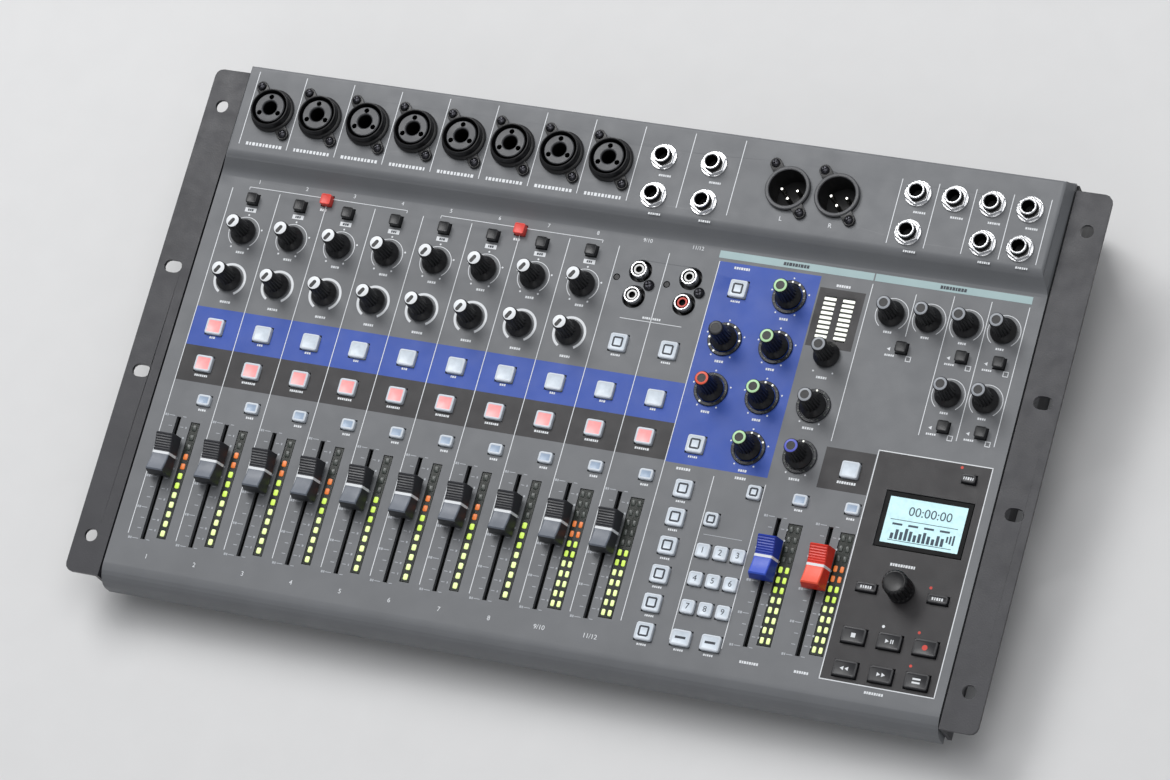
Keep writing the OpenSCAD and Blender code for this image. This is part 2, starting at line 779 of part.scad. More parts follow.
module displays() {
    color([0.1, 0.1, 0.11]) on_panel() for (p = ring_places) place(p) light_ring();
    color([0.75, 0.9, 0.92]) on_panel() {
        place([lcd_x, lcd_y]) {
            block([lcd_w - 2 * seat_gap, lcd_l - 2 * seat_gap], rim_z, -0.3);
            block([lcd_w + 6, lcd_l + 6], rim_z - 3, rim_z);
        }
    }
    color([0.3, 0.8, 0.3]) on_panel() {
        for (m = meters) place([m[0], fader_y]) block([m[1], meter_l], board_z + solder_gap, -0.3);
        for (x = level_meter_x) place([x, level_meter_y])
            block([level_meter_w, level_meter_l], board_z + solder_gap, -0.3);
    }
}

module screw_tabs() {
    for (s = [-1, 1]) difference() {
        union() {
            tab_place(s) rod(tab_r, 0, tab_t);
            rotate(tab_angle + (s > 0 ? 0 : 180)) translate([round_flange_r - 1.5, -tab_r, 0])
                cube([tab_circle_r - round_flange_r + 1.5, 2 * tab_r, tab_t]);
        }
        tab_place(s) rod(screw_hole_r, -eps, tab_t + eps);
    }
}

// A combination socket with its plug bore, shell groove and three contact holes
module combo_socket() {
    core_r = 7.8;
    groove_r = 9.3;
    core_top = combo_rim - 0.8;
    mouth = -plate_t - 0.7;
    screw_tabs();
    difference() {
        rotate_extrude() polygon([
            [0, -socket_depth], [round_body_r, -socket_depth], [round_body_r, 0], [round_flange_r, 0],
            [round_flange_r, tab_t], [combo_collar_r, tab_t + 0.4], [combo_collar_r, combo_rim - 0.5],
            [combo_collar_r - 0.5, combo_rim], [groove_r, combo_rim], [groove_r, -9], [core_r, -9],
            [core_r, core_top - 0.4], [core_r - 0.4, core_top], [phone_mouth_r, core_top],
            [phone_mouth_r, mouth], [phone_bore_r, mouth],
            [phone_bore_r, 2 - socket_depth], [0, 2 - socket_depth]
        ]);
        for (a = [95, 215, 335]) rotate(a) translate([5.8, 0, 0]) rod(1.35, -8, combo_rim);
    }
}

module combo_sockets() {
    color([0.09, 0.09, 0.1]) on_panel() for (p = combo_places) place(p, deck_h) combo_socket();
}

module phone_socket(depth, proud) {
    difference() {
        union() {
            rod(bushing_r, -plate_t, proud);
            block([phone_body_w, phone_body_w], -depth, -plate_t);
        }
        rod(phone_mouth_r, -plate_t - 0.7, proud + eps);
        rod(phone_bore_r, 2 - depth, -plate_t);
    }
}

module phone_sockets() {
    color([0.12, 0.12, 0.13]) on_panel()
        for (p = phone_places) place(p, deck_h) phone_socket(socket_depth, bushing_h);
}

module xlr_output() {
    screw_tabs();
    rotate_extrude() polygon([
        [0, -socket_depth], [round_body_r, -socket_depth], [round_body_r, 0], [round_flange_r, 0],
        [round_flange_r, xlr_rim - 0.5], [round_flange_r - 0.5, xlr_rim], [xlr_recess_r, xlr_rim],
        [xlr_recess_r, -xlr_recess_depth], [0, -xlr_recess_depth]
    ]);
    for (a = [5, 175, 270]) rotate(a) translate([xlr_pin_circle_r, 0, -xlr_recess_depth])
        rotate_extrude() polygon([
            [0, -1], [xlr_pin_r, -1], [xlr_pin_r, xlr_recess_depth - 3],
            [xlr_pin_r * 0.5, xlr_recess_depth - 2], [0, xlr_recess_depth - 2]
        ]);
}

module phono_barrel() {
    rotate_extrude() polygon([
        [0, -phono_recess - 1], [phono_r, -phono_recess - 1], [phono_r, phono_h], [phono_r - 0.6, phono_h],
        [phono_r - 0.6, phono_h - 0.5], [1.7, phono_h - 0.5], [1.7, phono_h - 7], [0, phono_h - 7]
    ]);
}

module phono_pair(i) {
    place([col(i) - 1.5, phono_mid_y]) difference() {
        union() {
            block([26, phono_row_gap + 2 * phono_hole_r], board_z + solder_gap, -phono_recess);
            place([phono_screw_off + 1.5, 0]) rod(screw_hole_r + 1.6, -phono_recess, rim_z);
            place([1.5 - phono_peg_off, 2]) rod(1.6, -phono_recess, -0.2);
        }
        place([phono_screw_off + 1.5, 0]) rod(screw_hole_r, -8, 0);
    }
    for (k = [0, 1]) place([col(i) + phono_off, phono_y - phono_row_gap * k]) phono_barrel();
}

module line_sockets() {
    color([0.3, 0.3, 0.32]) on_panel() {
        for (p = xlr_places) place(p, deck_h) xlr_output();
        for (i = [8, 9]) phono_pair(i);
    }
}

// The body of a rear socket behind the wall
module rear_body(face, depth) {
    block([face[0] + rear_body_over, face[1] + rear_body_over], -depth - rear_body_back, -wall_t);
}

module rear_sockets() {
    color([0.14, 0.14, 0.15]) {
        at_rear(inlet_x) difference() {
            union() {
                block([inlet_w, inlet_w], -wall_t, 0.4);
                rear_body([inlet_w, inlet_w], inlet_depth);
            }
            difference() {
                rod(inlet_hole_r, -inlet_depth, 1);
                rod(inlet_pin_r, -inlet_depth, -1);
            }
        }
        at_rear(usb_x) difference() {
            union() {
                block([usb_w, usb_l], -wall_t, 0.6);
                rear_body([usb_w, usb_l], usb_depth);
            }
            difference() {
                block(usb_hole, -usb_depth, 1);
                block(usb_tongue, -usb_depth, -1);
            }
        }
        at_rear(card_x) difference() {
            union() {
                block([card_w, card_l], -wall_t, 0.2);
                rear_body([card_w, card_l], card_depth);
            }
            block(card_mouth, -card_depth, 1);
        }
        at_rear(pedal_x) phone_socket(24, rear_proud);
        at_rear(power_x) difference() {
            block([power_slot_w + 8, power_slot_l + 6], -10, -wall_t);
            block([power_slot_w, power_slot_l + 2 * move_gap], -6, 0);
        }
    }
}

// A key cap with its plunger, standing in its hole
module key_cap(k) {
    place(k) {
        block([k[2], k[3]], rim_z - 0.5, key_h, min(key_corner_r, k[3] / 3));
        block([k[2] - 3, k[3] - 3], board_z + key_travel + 1, rim_z - 0.5);
    }
}

module channel_keys() {
    color([0.86, 0.84, 0.85]) on_panel() for (k = channel_key_list) key_cap(k);
}

module mode_keys() {
    color([0.82, 0.85, 0.87]) on_panel() for (k = mode_key_list) key_cap(k);
}

module recorder_key_caps() {
    color([0.1, 0.1, 0.11]) on_panel() for (k = recorder_keys) key_cap(k);
}

module push_switches() {
    on_panel() for (i = [0:len(switch_places) - 1])
        color(i < len(black_switches) ? [0.1, 0.1, 0.11] : [0.75, 0.12, 0.12])
            place(switch_places[i]) {
                block([switch_w, switch_w], board_z + switch_travel + 1, switch_h - 0.6, 0.8);
                block([switch_w - 1, switch_w - 1], switch_h - 0.6, switch_h, 0.5);
            }
}

module power_switch() {
    color([0.12, 0.12, 0.13]) at_rear(power_x + power_throw / 2) {
        block([power_knob_w, power_slot_l], -5.6, 1.4);
        for (k = [-1:1]) translate([k * 1.5, 0, 0]) block([0.8, power_slot_l], 1.4, 2);
    }
}

// A knob turned so that its pointer stands the given degrees left of straight up
module knob(p, pointer) {
    top_r = knob_grip_r - 0.4;
    pointer_w = 0.9;
    color([0.08, 0.08, 0.09]) on_panel() place(p) rotate(pointer) difference() {
        rotate_extrude() polygon([
            [0, board_z + 2], [stem_r, board_z + 2], [stem_r, skirt_gap], [knob_skirt_r, skirt_gap],
            [knob_skirt_r, skirt_gap + 1.2], [knob_skirt_r - 0.8, skirt_gap + 2],
            [knob_grip_r + 0.9, skirt_gap + 3.2], [knob_grip_r + 0.5, skirt_gap + 4.6],
            [knob_grip_r, knob_h - 0.8], [top_r, knob_h], [0, knob_h]
        ]);
        translate([-pointer_w / 2, 0, knob_h - 0.5]) cube([pointer_w, knob_grip_r + 1, 1]);
    }
}

module menu_encoder() {
    flutes = 18;
    color([0.07, 0.07, 0.08]) on_panel() place(encoder_place) difference() {
        rotate_extrude() polygon([
            [0, board_z + 2], [stem_r, board_z + 2], [stem_r, skirt_gap], [encoder_r, skirt_gap],
            [encoder_r - 0.3, encoder_h - 1], [encoder_r - 1.2, encoder_h], [0, encoder_h]
        ]);
        for (i = [0:flutes - 1]) rotate(i * 360 / flutes)
            translate([encoder_r + 0.35, 0, 0]) rod(0.8, skirt_gap + 2, encoder_h + 1);
    }
}

// A fader cap with a finger hollow and pointer groove, on the lever that runs in the slot
module fader(i, tint) {
    line_depth = 0.3;
    hollow_r = (pow(cap_l / 2 - 1.5, 2) + cap_dip * cap_dip) / (2 * cap_dip);
    color(tint) on_panel() place([slot_x(i), fader_y + fader_rest]) {
        difference() {
            intersection() {
                across([
                    [-cap_l / 2, cap_gap], [cap_l / 2, cap_gap],
                    [cap_l / 2 - 0.8, cap_h], [0.8 - cap_l / 2, cap_h]
                ], cap_w);
                along([
                    [-cap_w / 2, cap_gap], [cap_w / 2, cap_gap],
                    [cap_top_w / 2, cap_h], [-cap_top_w / 2, cap_h]
                ], -cap_l / 2, cap_l / 2);
            }
            translate([0, 0, cap_h + hollow_r - cap_dip]) rotate([0, 90, 0])
                cylinder(r = hollow_r, h = 2 * cap_w, center = true, $fn = 96);
            translate([-cap_w / 2, -cap_line_w / 2, cap_h - cap_dip - line_depth])
                cube([cap_w, cap_line_w, cap_dip]);
        }
        block([lever_t, lever_l], board_z + 2, cap_gap + 1);
    }
}

function wanted(name) = node == "all" || node == name;

if (wanted("top_cover")) top_cover();
if (wanted("lower_case")) lower_case();
if (wanted("rack_ears")) rack_ears();
if (wanted("rubber_feet")) rubber_feet();
if (wanted("fasteners")) fasteners();
if (wanted("circuit_boards")) circuit_boards();
if (wanted("displays")) displays();
if (wanted("combo_sockets")) combo_sockets();
if (wanted("phone_sockets")) phone_sockets();
if (wanted("line_sockets")) line_sockets();
if (wanted("rear_sockets")) rear_sockets();
if (wanted("channel_keys")) channel_keys();
if (wanted("mode_keys")) mode_keys();
if (wanted("recorder_keys")) recorder_key_caps();
if (wanted("push_switches")) push_switches();
if (wanted("power_switch")) power_switch();
for (i = [1:mono_channels]) if (wanted(str("gain_knob_", i))) knob(gain_places[i - 1], low_turn);
for (i = [1:mono_channels]) if (wanted(str("comp_knob_", i))) knob(comp_places[i - 1], low_turn);
for (i = [0:5]) if (wanted(str(strip_names[i], "_knob"))) knob(strip_places[i], strip_turns[i]);
for (i = [1:3]) if (wanted(str("output_knob_", i))) knob(output_places[i - 1], low_turn);
for (i = [1:6]) if (wanted(str("monitor_knob_", i))) knob(monitor_places[i - 1], low_turn);
if (wanted("menu_encoder")) menu_encoder();
for (i = [1:channels]) if (wanted(str("channel_fader_", i))) fader(i - 1, [0.3, 0.3, 0.32]);
if (wanted("effects_fader")) fader(12, [0.15, 0.3, 0.75]);
if (wanted("master_fader")) fader(13, [0.75, 0.12, 0.12]);
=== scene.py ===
import json
import math
from collections import namedtuple

import bmesh
import bpy
from mathutils import Matrix, Vector


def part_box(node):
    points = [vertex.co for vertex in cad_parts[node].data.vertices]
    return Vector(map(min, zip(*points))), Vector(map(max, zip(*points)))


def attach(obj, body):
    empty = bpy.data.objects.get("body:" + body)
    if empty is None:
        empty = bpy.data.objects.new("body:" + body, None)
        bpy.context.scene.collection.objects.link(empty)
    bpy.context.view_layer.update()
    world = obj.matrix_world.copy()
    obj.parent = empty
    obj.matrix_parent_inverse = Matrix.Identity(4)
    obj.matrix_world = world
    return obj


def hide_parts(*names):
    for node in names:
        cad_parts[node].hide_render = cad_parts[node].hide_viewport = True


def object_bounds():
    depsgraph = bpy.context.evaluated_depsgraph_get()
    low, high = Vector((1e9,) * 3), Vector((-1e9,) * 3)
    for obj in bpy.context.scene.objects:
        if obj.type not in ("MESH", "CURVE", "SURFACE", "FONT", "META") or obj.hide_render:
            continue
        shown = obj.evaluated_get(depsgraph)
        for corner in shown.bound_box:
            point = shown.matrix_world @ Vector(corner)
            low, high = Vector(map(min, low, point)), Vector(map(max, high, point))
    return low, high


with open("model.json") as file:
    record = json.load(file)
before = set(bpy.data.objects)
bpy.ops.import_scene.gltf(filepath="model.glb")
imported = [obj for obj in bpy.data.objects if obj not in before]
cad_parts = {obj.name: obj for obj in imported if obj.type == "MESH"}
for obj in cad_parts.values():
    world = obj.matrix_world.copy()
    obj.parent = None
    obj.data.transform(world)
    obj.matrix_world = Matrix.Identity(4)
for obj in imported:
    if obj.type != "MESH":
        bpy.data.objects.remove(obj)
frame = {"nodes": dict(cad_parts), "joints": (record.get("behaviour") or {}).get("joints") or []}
cad_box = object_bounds()

MM = 0.001
cad = frame["nodes"]
joints = {joint["child"]: joint for joint in frame["joints"]}

# The panel's own frame, in millimetres: x across, y up the slope from the select keys, z out of the panel
SELECT_TO_GAIN = 52


def panel_frame():
    gain = joints["gain_knob_1"]
    out = Vector(gain["axis"]).normalized()
    across = Vector((1, 0, 0))
    slope = out.cross(across)
    origin = Vector(gain["pos_m"]) - slope * SELECT_TO_GAIN * MM
    origin.x = 0
    turn = Matrix((across, slope, out)).transposed().to_4x4()
    return Matrix.Translation(origin) @ turn @ Matrix.Scale(MM, 4)


PANEL = panel_frame()
TO_PANEL = PANEL.inverted()
Solid = namedtuple("Solid", "x y z w l h")


def on_panel(x=0, y=0, z=0, turn=0):
    return PANEL @ Matrix.Translation((x, y, z)) @ Matrix.Rotation(math.radians(turn), 4, "Z")


def solids(node):
    """Middle and size of each separate solid of a CAD node, in the panel's frame."""
    work = bmesh.new()
    work.from_mesh(cad[node].data)
    bmesh.ops.remove_doubles(work, verts=work.verts, dist=1e-6)
    left = set(work.verts)
    found = []
    while left:
        group = [left.pop()]
        for point in group:
            for edge in point.link_edges:
                other = edge.other_vert(point)
                if other in left:
                    left.remove(other)
                    group.append(other)
        points = [TO_PANEL @ point.co for point in group]
        low = [min(p[k] for p in points) for k in range(3)]
        high = [max(p[k] for p in points) for k in range(3)]
        middle = [(a + b) / 2 for a, b in zip(low, high)]
        size = [b - a for a, b in zip(low, high)]
        found.append(Solid(*middle, *size))
    work.free()
    return sorted(found, key=lambda s: (round(-s.y), s.x))


def spot(body):
    """Where a turning piece stands on the panel."""
    place = TO_PANEL @ Vector(joints[body]["pos_m"])
    return place.x, place.y


# Modelling steps


def leave_edit():
    active = bpy.context.view_layer.objects.active
    if active and active.mode == "EDIT":
        bpy.ops.object.mode_set(mode="OBJECT")
    bpy.ops.object.select_all(action="DESELECT")


def take(piece):
    leave_edit()
    piece.select_set(True)
    bpy.context.view_layer.objects.active = piece


def edit(piece):
    take(piece)
    bpy.ops.object.mode_set(mode="EDIT")


def pick(kind, test):
    """In edit mode, selects the faces, edges or points that pass the test."""
    bpy.ops.mesh.select_mode(type=kind)
    bpy.ops.mesh.select_all(action="DESELECT")
    data = bpy.context.edit_object.data
    work = bmesh.from_edit_mesh(data)
    for element in {"FACE": work.faces, "EDGE": work.edges, "VERT": work.verts}[kind]:
        if test(element):
            element.select_set(True)
    if kind == "VERT":
        work.select_flush(True)
    bmesh.update_edit_mesh(data)


def pick_faces(test):
    """Selects faces by their middle and normal."""
    pick("FACE", lambda face: test(face.calc_center_median(), face.normal))


def pick_edges(test):
    """Selects edges by their two ends."""
    pick("EDGE", lambda edge: test(edge.verts[0].co, edge.verts[1].co))


def pick_points(test):
    pick("VERT", lambda point: test(point.co))


def pick_top(top):
    """Selects the level faces at the top of a piece."""
    pick_faces(lambda middle, normal: normal.z > 0.9 and middle.z > top - 0.05)


def coat(piece, *materials):
    piece.data.materials.clear()
    for material in materials:
        piece.data.materials.append(material)


def paint(index):
    """In edit mode, gives the selected faces one of the piece's materials."""
    bpy.context.object.active_material_index = index
    bpy.ops.object.material_slot_assign()


def paint_where(piece, index, test):
    """Gives the faces that pass the test one of the piece's materials."""
    edit(piece)
    pick_faces(test)
    paint(index)
    leave_edit()


def smooth(piece, angle):
    """Smooths what isn't a sharp edge."""
    take(piece)
    bpy.ops.object.shade_smooth_by_angle(angle=math.radians(angle))
    return piece


def seal(piece, angle=35):
    """Merges doubles and turns the faces outwards."""
    edit(piece)
    bpy.ops.mesh.select_all(action="SELECT")
    bpy.ops.mesh.remove_doubles(threshold=1e-4)
    bpy.ops.mesh.normals_make_consistent(inside=False)
    return smooth(piece, angle)


def apply_modifier(piece, kind, **settings):
    take(piece)
    modifier = piece.modifiers.new(kind.title(), kind)
    for setting, value in settings.items():
        setattr(modifier, setting, value)
    bpy.ops.object.modifier_apply(modifier=modifier.name)
    return piece


def soften(piece, width, angle):
    """Rounds the sharp edges of a piece."""
    apply_modifier(
        piece,
        "BEVEL",
        width=width,
        segments=2,
        limit_method="ANGLE",
        angle_limit=math.radians(angle),
    )
    return weigh(smooth(piece, angle))


def weigh(piece):
    """Lets the large faces set the shading beside narrow ones."""
    return apply_modifier(piece, "WEIGHTED_NORMAL", keep_sharp=True)


def cut(piece, tool):
    """Cuts the tool's shape out of a piece and removes the tool."""
    apply_modifier(piece, "BOOLEAN", object=tool, operation="DIFFERENCE", solver="EXACT")
    bpy.data.objects.remove(tool)
    return piece


def lathe(outline, sides, fill):
    """Extrudes and resizes a circle about Z from each (radius, height) to the next."""
    radius, height = outline[0]
    leave_edit()
    foot = (0, 0, height)
    bpy.ops.mesh.primitive_circle_add(vertices=sides, radius=radius, fill_type=fill, location=foot)
    piece = bpy.context.object
    bpy.ops.object.transform_apply(location=True, rotation=True, scale=True)
    bpy.ops.object.mode_set(mode="EDIT")
    bpy.ops.mesh.select_mode(type="VERT")
    bpy.ops.mesh.select_all(action="SELECT")
    for (r0, z0), (r1, z1) in zip(outline, outline[1:]):
        bpy.ops.mesh.extrude_region_move(TRANSFORM_OT_translate={"value": (0, 0, z1 - z0)})
        bpy.ops.transform.resize(value=(r1 / r0, r1 / r0, 1), center_override=(0, 0, z1))
    return seal(piece)


def turned(outline, sides=32):
    """A round solid piece, from the disc at its foot to the disc at its top."""
    return lathe(outline, sides, "NGON")


def hollow(outline, sides=32):
    """A round piece that is open in the middle, with a closed outline."""
    return lathe(outline + outline[:1], sides, "NOTHING")


def slab(w, l, low, top, corner=0, edge=0, rounds=3):
    """A block between two heights, with round upright corners and a rounded top edge."""
    leave_edit()
    bpy.ops.mesh.primitive_cube_add(size=1, location=(0, 0, (low + top) / 2), scale=(w, l, top - low))
    piece = bpy.context.object
    bpy.ops.object.transform_apply(location=True, rotation=True, scale=True)
    bpy.ops.object.mode_set(mode="EDIT")
    if corner:
        pick_edges(lambda a, b: abs(a.z - b.z) > (top - low) / 2)
        bpy.ops.mesh.bevel(offset=corner, segments=rounds, affect="EDGES")
    if edge:
        pick_faces(lambda middle, normal: normal.z > 0.9)
        bpy.ops.mesh.region_to_loop()
        bpy.ops.mesh.bevel(offset=edge, segments=2, affect="EDGES")
    return seal(piece)


def gather(name, parts):
    """One piece out of copies of masters, each copy with its own mesh in its own place."""
    leave_edit()
    for master, place in parts:
        copy = master.copy()
        copy.data = master.data.copy()
        copy.data.transform(place)
        bpy.context.collection.objects.link(copy)
        copy.select_set(True)
    bpy.context.view_layer.objects.active = copy
    if len(parts) > 1:
        bpy.ops.object.join()
    piece = bpy.context.object
    piece.name = name
    piece.data.name = name
    return piece


def drop(*masters):
    leave_edit()
    for master in masters:
        bpy.data.objects.remove(master)


def fit(piece, body, slot, *replaced):
    """Makes a finished piece ride on its body, in place of the CAD nodes it stands for."""
    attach(piece, body)
    if replaced:
        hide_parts(*replaced)
    return piece


def dressed(node, name, edge=0, angle=30):
    """A merged copy of a CAD node, with its edges rounded if an edge is given."""
    leave_edit()
    piece = bpy.data.objects.new(name, cad[node].data.copy())
    piece.data.name = name
    bpy.context.collection.objects.link(piece)
    piece.data.materials.clear()
    edit(piece)
    bpy.ops.mesh.select_all(action="SELECT")
    bpy.ops.mesh.remove_doubles(threshold=1e-6)
    if edge:
        bpy.ops.mesh.dissolve_limited(angle_limit=math.radians(0.5))
        leave_edit()
        return soften(piece, edge * MM, angle)
    return smooth(piece, angle)


def film(name, parts, finish, body, slot):
    """Prints, signs or lamps of one finish, joined into one piece on a body."""
    piece = gather(name, parts)
    coat(piece, finish)
    return fit(piece, body, slot)


# Materials


def tint(red, green, blue):
    """A display colour from 0 to 255 as the shader's linear colour."""
    def linear(value):
        share = value / 255
        return share / 12.92 if share < 0.04045 else ((share + 0.055) / 1.055) ** 2.4
    return linear(red), linear(green), linear(blue), 1


def shade(colour, factor):
    return tuple(min(1, part * factor) for part in colour[:3]) + (1,)


def new_shader(name):
    material = bpy.data.materials.new(name)
    material.use_nodes = True
    return material, material.node_tree, material.node_tree.nodes["Principled BSDF"]


def add_node(tree, kind, **values):
    """A shader node with values on its sockets."""
    node = tree.nodes.new("ShaderNode" + kind)
    for socket, value in values.items():
        node.inputs[socket.replace("_", " ")].default_value = value
    return node


def drive(tree, surface, **sources):
    """Links outputs to the shader's sockets."""
    for socket, source in sources.items():
        tree.links.new(source, surface.inputs[socket.replace("_", " ")])


def noise(tree, scale, detail=3, stretch=(1, 1, 1)):
    """A noise over the object's own coordinates."""
    coords = add_node(tree, "TexCoord")
    mapping = add_node(tree, "Mapping", Scale=stretch)
    texture = add_node(tree, "TexNoise", Scale=scale, Detail=detail)
    drive(tree, mapping, Vector=coords.outputs["Object"])
    drive(tree, texture, Vector=mapping.outputs["Vector"])
    return texture.outputs["Fac"]


def spread(tree, factor, middle, reach):
    """Turns a noise into a number that wanders about a value."""
    ends = {"To_Min": middle - reach, "To_Max": middle + reach}
    ranged = add_node(tree, "MapRange", From_Min=0.3, From_Max=0.7, **ends)
    drive(tree, ranged, Value=factor)
    return ranged.outputs["Result"]


def two_colours(tree, factor, *colours):
    ramp = add_node(tree, "ValToRGB")
    for element, position, colour in zip(ramp.color_ramp.elements, (0.3, 0.7), colours):
        element.position = position
        element.color = colour
    drive(tree, ramp, Fac=factor)
    return ramp.outputs["Color"]


def bump(tree, factor, strength, depth):
    node = add_node(tree, "Bump", Strength=strength, Distance=depth * MM)
    drive(tree, node, Height=factor)
    return node.outputs["Normal"]


def moulded(name, rgb, finish, fleck, specular=0.45):
    """Moulded plastic: a little cloudiness, a roughness that wanders and a fine grain."""
    material, tree, surface = new_shader(name)
    rough, vary, grain, grain_scale = finish
    colour = tint(*rgb)
    surface.inputs["Specular IOR Level"].default_value = specular
    drive(
        tree,
        surface,
        Base_Color=two_colours(tree, noise(tree, 45), shade(colour, 1 - fleck), shade(colour, 1 + fleck)),
        Roughness=spread(tree, noise(tree, 120), rough, vary),
        Normal=bump(tree, noise(tree, grain_scale, 4), grain, 0.12),
    )
    return material


def plated(name, rgb, rough, vary):
    """Plated metal with fine scratches along one way."""
    material, tree, surface = new_shader(name)
    colour = tint(*rgb)
    along = (1, 1, 6)
    surface.inputs["Metallic"].default_value = 1
    drive(
        tree,
        surface,
        Base_Color=two_colours(tree, noise(tree, 300), shade(colour, 0.86), colour),
        Roughness=spread(tree, noise(tree, 700, 4, along), rough, vary),
        Normal=bump(tree, noise(tree, 3500, 4, along), 0.12, 0.05),
    )
    return material


def glowing(name, rgb, strength, rough=0.35):
    """A tinted lens or key that light comes through."""
    material, tree, surface = new_shader(name)
    colour = tint(*rgb)
    light = two_colours(tree, noise(tree, 400), shade(colour, 0.85), colour)
    surface.inputs["Emission Strength"].default_value = strength
    drive(
        tree,
        surface,
        Base_Color=light,
        Emission_Color=light,
        Roughness=spread(tree, noise(tree, 250), rough, 0.08),
        Normal=bump(tree, noise(tree, 2600), 0.12, 0.05),
    )
    return material


# Roughness, how far it wanders, grain and fineness of grain
PRINTED = (0.46, 0.06, 0.4, 2600)
INK = (0.5, 0.06, 0.15, 2600)
CAP = (0.4, 0.06, 0.2, 1900)
SATIN = (0.4, 0.08, 0.3, 1900)
BRIGHT = (0.38, 0.07, 0.3, 1900)
POLISHED = (0.36, 0.07, 0.3, 1900)
INSULATOR = (0.4, 0.06, 0.15, 1900)

cover_grey = moulded("cover_grey", (108, 110, 113), (0.5, 0.06, 0.45, 2600), 0.05)
print_blue = moulded("print_blue", (40, 76, 166), PRINTED, 0.06)
print_black = moulded("print_black", (38, 36, 38), PRINTED, 0.1)
ink_white = moulded("ink_white", (222, 225, 228), INK, 0.04)
ink_grey = moulded("ink_grey", (172, 176, 181), INK, 0.04)
ink_teal = moulded("ink_teal", (158, 182, 184), INK, 0.05)
ink_dark = moulded("ink_dark", (44, 50, 60), INK, 0.08)
ink_red = moulded("ink_red", (205, 62, 50), INK, 0.06)
case_black = moulded("case_black", (30, 30, 32), (0.55, 0.08, 0.6, 1500), 0.12)
ear_black = moulded("ear_black", (52, 52, 56), (0.45, 0.08, 0.5, 1300), 0.12)
foot_rubber = moulded("foot_rubber", (24, 24, 25), (0.78, 0.08, 0.5, 900), 0.15, 0.25)
knob_black = moulded("knob_black", (20, 20, 22), (0.4, 0.08, 0.35, 1900), 0.12)
cap_white = moulded("cap_white", (226, 229, 232), CAP, 0.05)
cap_grey = moulded("cap_grey", (146, 150, 156), CAP, 0.05)
cap_green = moulded("cap_green", (178, 220, 168), CAP, 0.05)
cap_orange = moulded("cap_orange", (222, 84, 58), CAP, 0.06)
cap_blue = moulded("cap_blue", (84, 92, 190), CAP, 0.06)
fader_grey = moulded("fader_grey", (46, 47, 51), (0.42, 0.08, 0.3, 1900), 0.1)
# Lighter copies of the fader caps' colours: a painted highlight on the top of each cap's front half
fader_front = moulded("fader_front", (98, 104, 114), (0.38, 0.08, 0.3, 1900), 0.08)
fader_blue = moulded("fader_blue", (32, 58, 162), BRIGHT, 0.07)
painted_blue_highlight = moulded("painted_blue_highlight", (52, 84, 196), POLISHED, 0.07)
fader_red = moulded("fader_red", (214, 52, 36), BRIGHT, 0.07)
painted_red_highlight = moulded("painted_red_highlight", (240, 88, 62), POLISHED, 0.07)
switch_black = moulded("switch_black", (30, 31, 33), SATIN, 0.12)
switch_red = moulded("switch_red", (224, 74, 66), BRIGHT, 0.07)
key_skirt = moulded("key_skirt", (204, 211, 219), (0.45, 0.06, 0.25, 1900), 0.04)
key_black = moulded("key_black", (34, 34, 37), SATIN, 0.1)
socket_black = moulded("socket_black", (22, 22, 24), (0.38, 0.08, 0.3, 1900), 0.12)
socket_face = moulded("socket_face", (72, 73, 76), SATIN, 0.1)
white_insulator = moulded("white_insulator", (230, 230, 228), INSULATOR, 0.04)
red_insulator = moulded("red_insulator", (206, 84, 74), INSULATOR, 0.06)
# Near-black: painted shade down the sockets' holes and bores, and the real black border round the
# display's screen
hole_shade_and_screen_border = moulded("hole_shade_and_screen_border", (8, 8, 9), (0.6, 0.08, 0.2, 1500), 0.2, 0.2)
meter_black = moulded("meter_black", (22, 28, 22), (0.25, 0.06, 0.1, 900), 0.15)
ring_smoke = moulded("ring_smoke", (26, 28, 34), (0.28, 0.06, 0.1, 900), 0.12)
board_black = moulded("board_black", (16, 18, 17), (0.4, 0.08, 0.3, 900), 0.12)
chrome = plated("chrome", (232, 233, 235), 0.2, 0.07)
brass_pin = plated("brass_pin", (236, 234, 228), 0.22, 0.06)
dark_steel = plated("dark_steel", (58, 58, 62), 0.34, 0.08)
key_pink = glowing("key_pink", (246, 160, 160), 0.25)
key_pale = glowing("key_pale", (206, 216, 226), 0.1)
key_mute = glowing("key_mute", (160, 178, 200), 0.05)
led_green = glowing("led_green", (186, 216, 84), 0.7)
led_pale = glowing("led_pale", (210, 226, 152), 0.65)
led_amber = glowing("led_amber", (216, 116, 50), 0.45)
led_white = glowing("led_white", (232, 234, 224), 0.6)
led_off = moulded("led_off", (52, 58, 54), (0.3, 0.06, 0.15, 1500), 0.1)
lcd_glow = glowing("lcd_glow", (190, 226, 232), 0.4, 0.2)
lcd_pixel = moulded("lcd_pixel", (40, 62, 78), (0.3, 0.06, 0.1, 1500), 0.1)


# Places taken from the frame

first_x = spot("gain_knob_1")[0]
last_x = spot("gain_knob_8")[0]
PITCH = (last_x - first_x) / 7
DECK_Z = 8
PRINT_T = 0.06
LINE = 0.4
FINE_LINE = 0.3


def column(i):
    return first_x + PITCH * i


monitor_x = [spot(f"monitor_knob_{k}")[0] for k in (1, 2, 3, 4)]
MONITOR_PITCH = monitor_x[1] - monitor_x[0]
channel_keys = solids("channel_keys")
mode_keys = solids("mode_keys")
recorder_keys = solids("recorder_keys")
switches = solids("push_switches")
combos = solids("combo_sockets")
phones = solids("phone_sockets")
lines = solids("line_sockets")
windows = solids("displays")
screws = solids("fasteners")
record_keys = [k for k in channel_keys if -30 < k.y < -10]
mute_keys = [k for k in channel_keys if k.y < -30]
fader_x = {}
for body in joints:
    if "fader" in body:
        low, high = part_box(body)
        fader_x[body] = (TO_PANEL @ ((low + high) / 2)).x


# Moulded cover with its printed areas

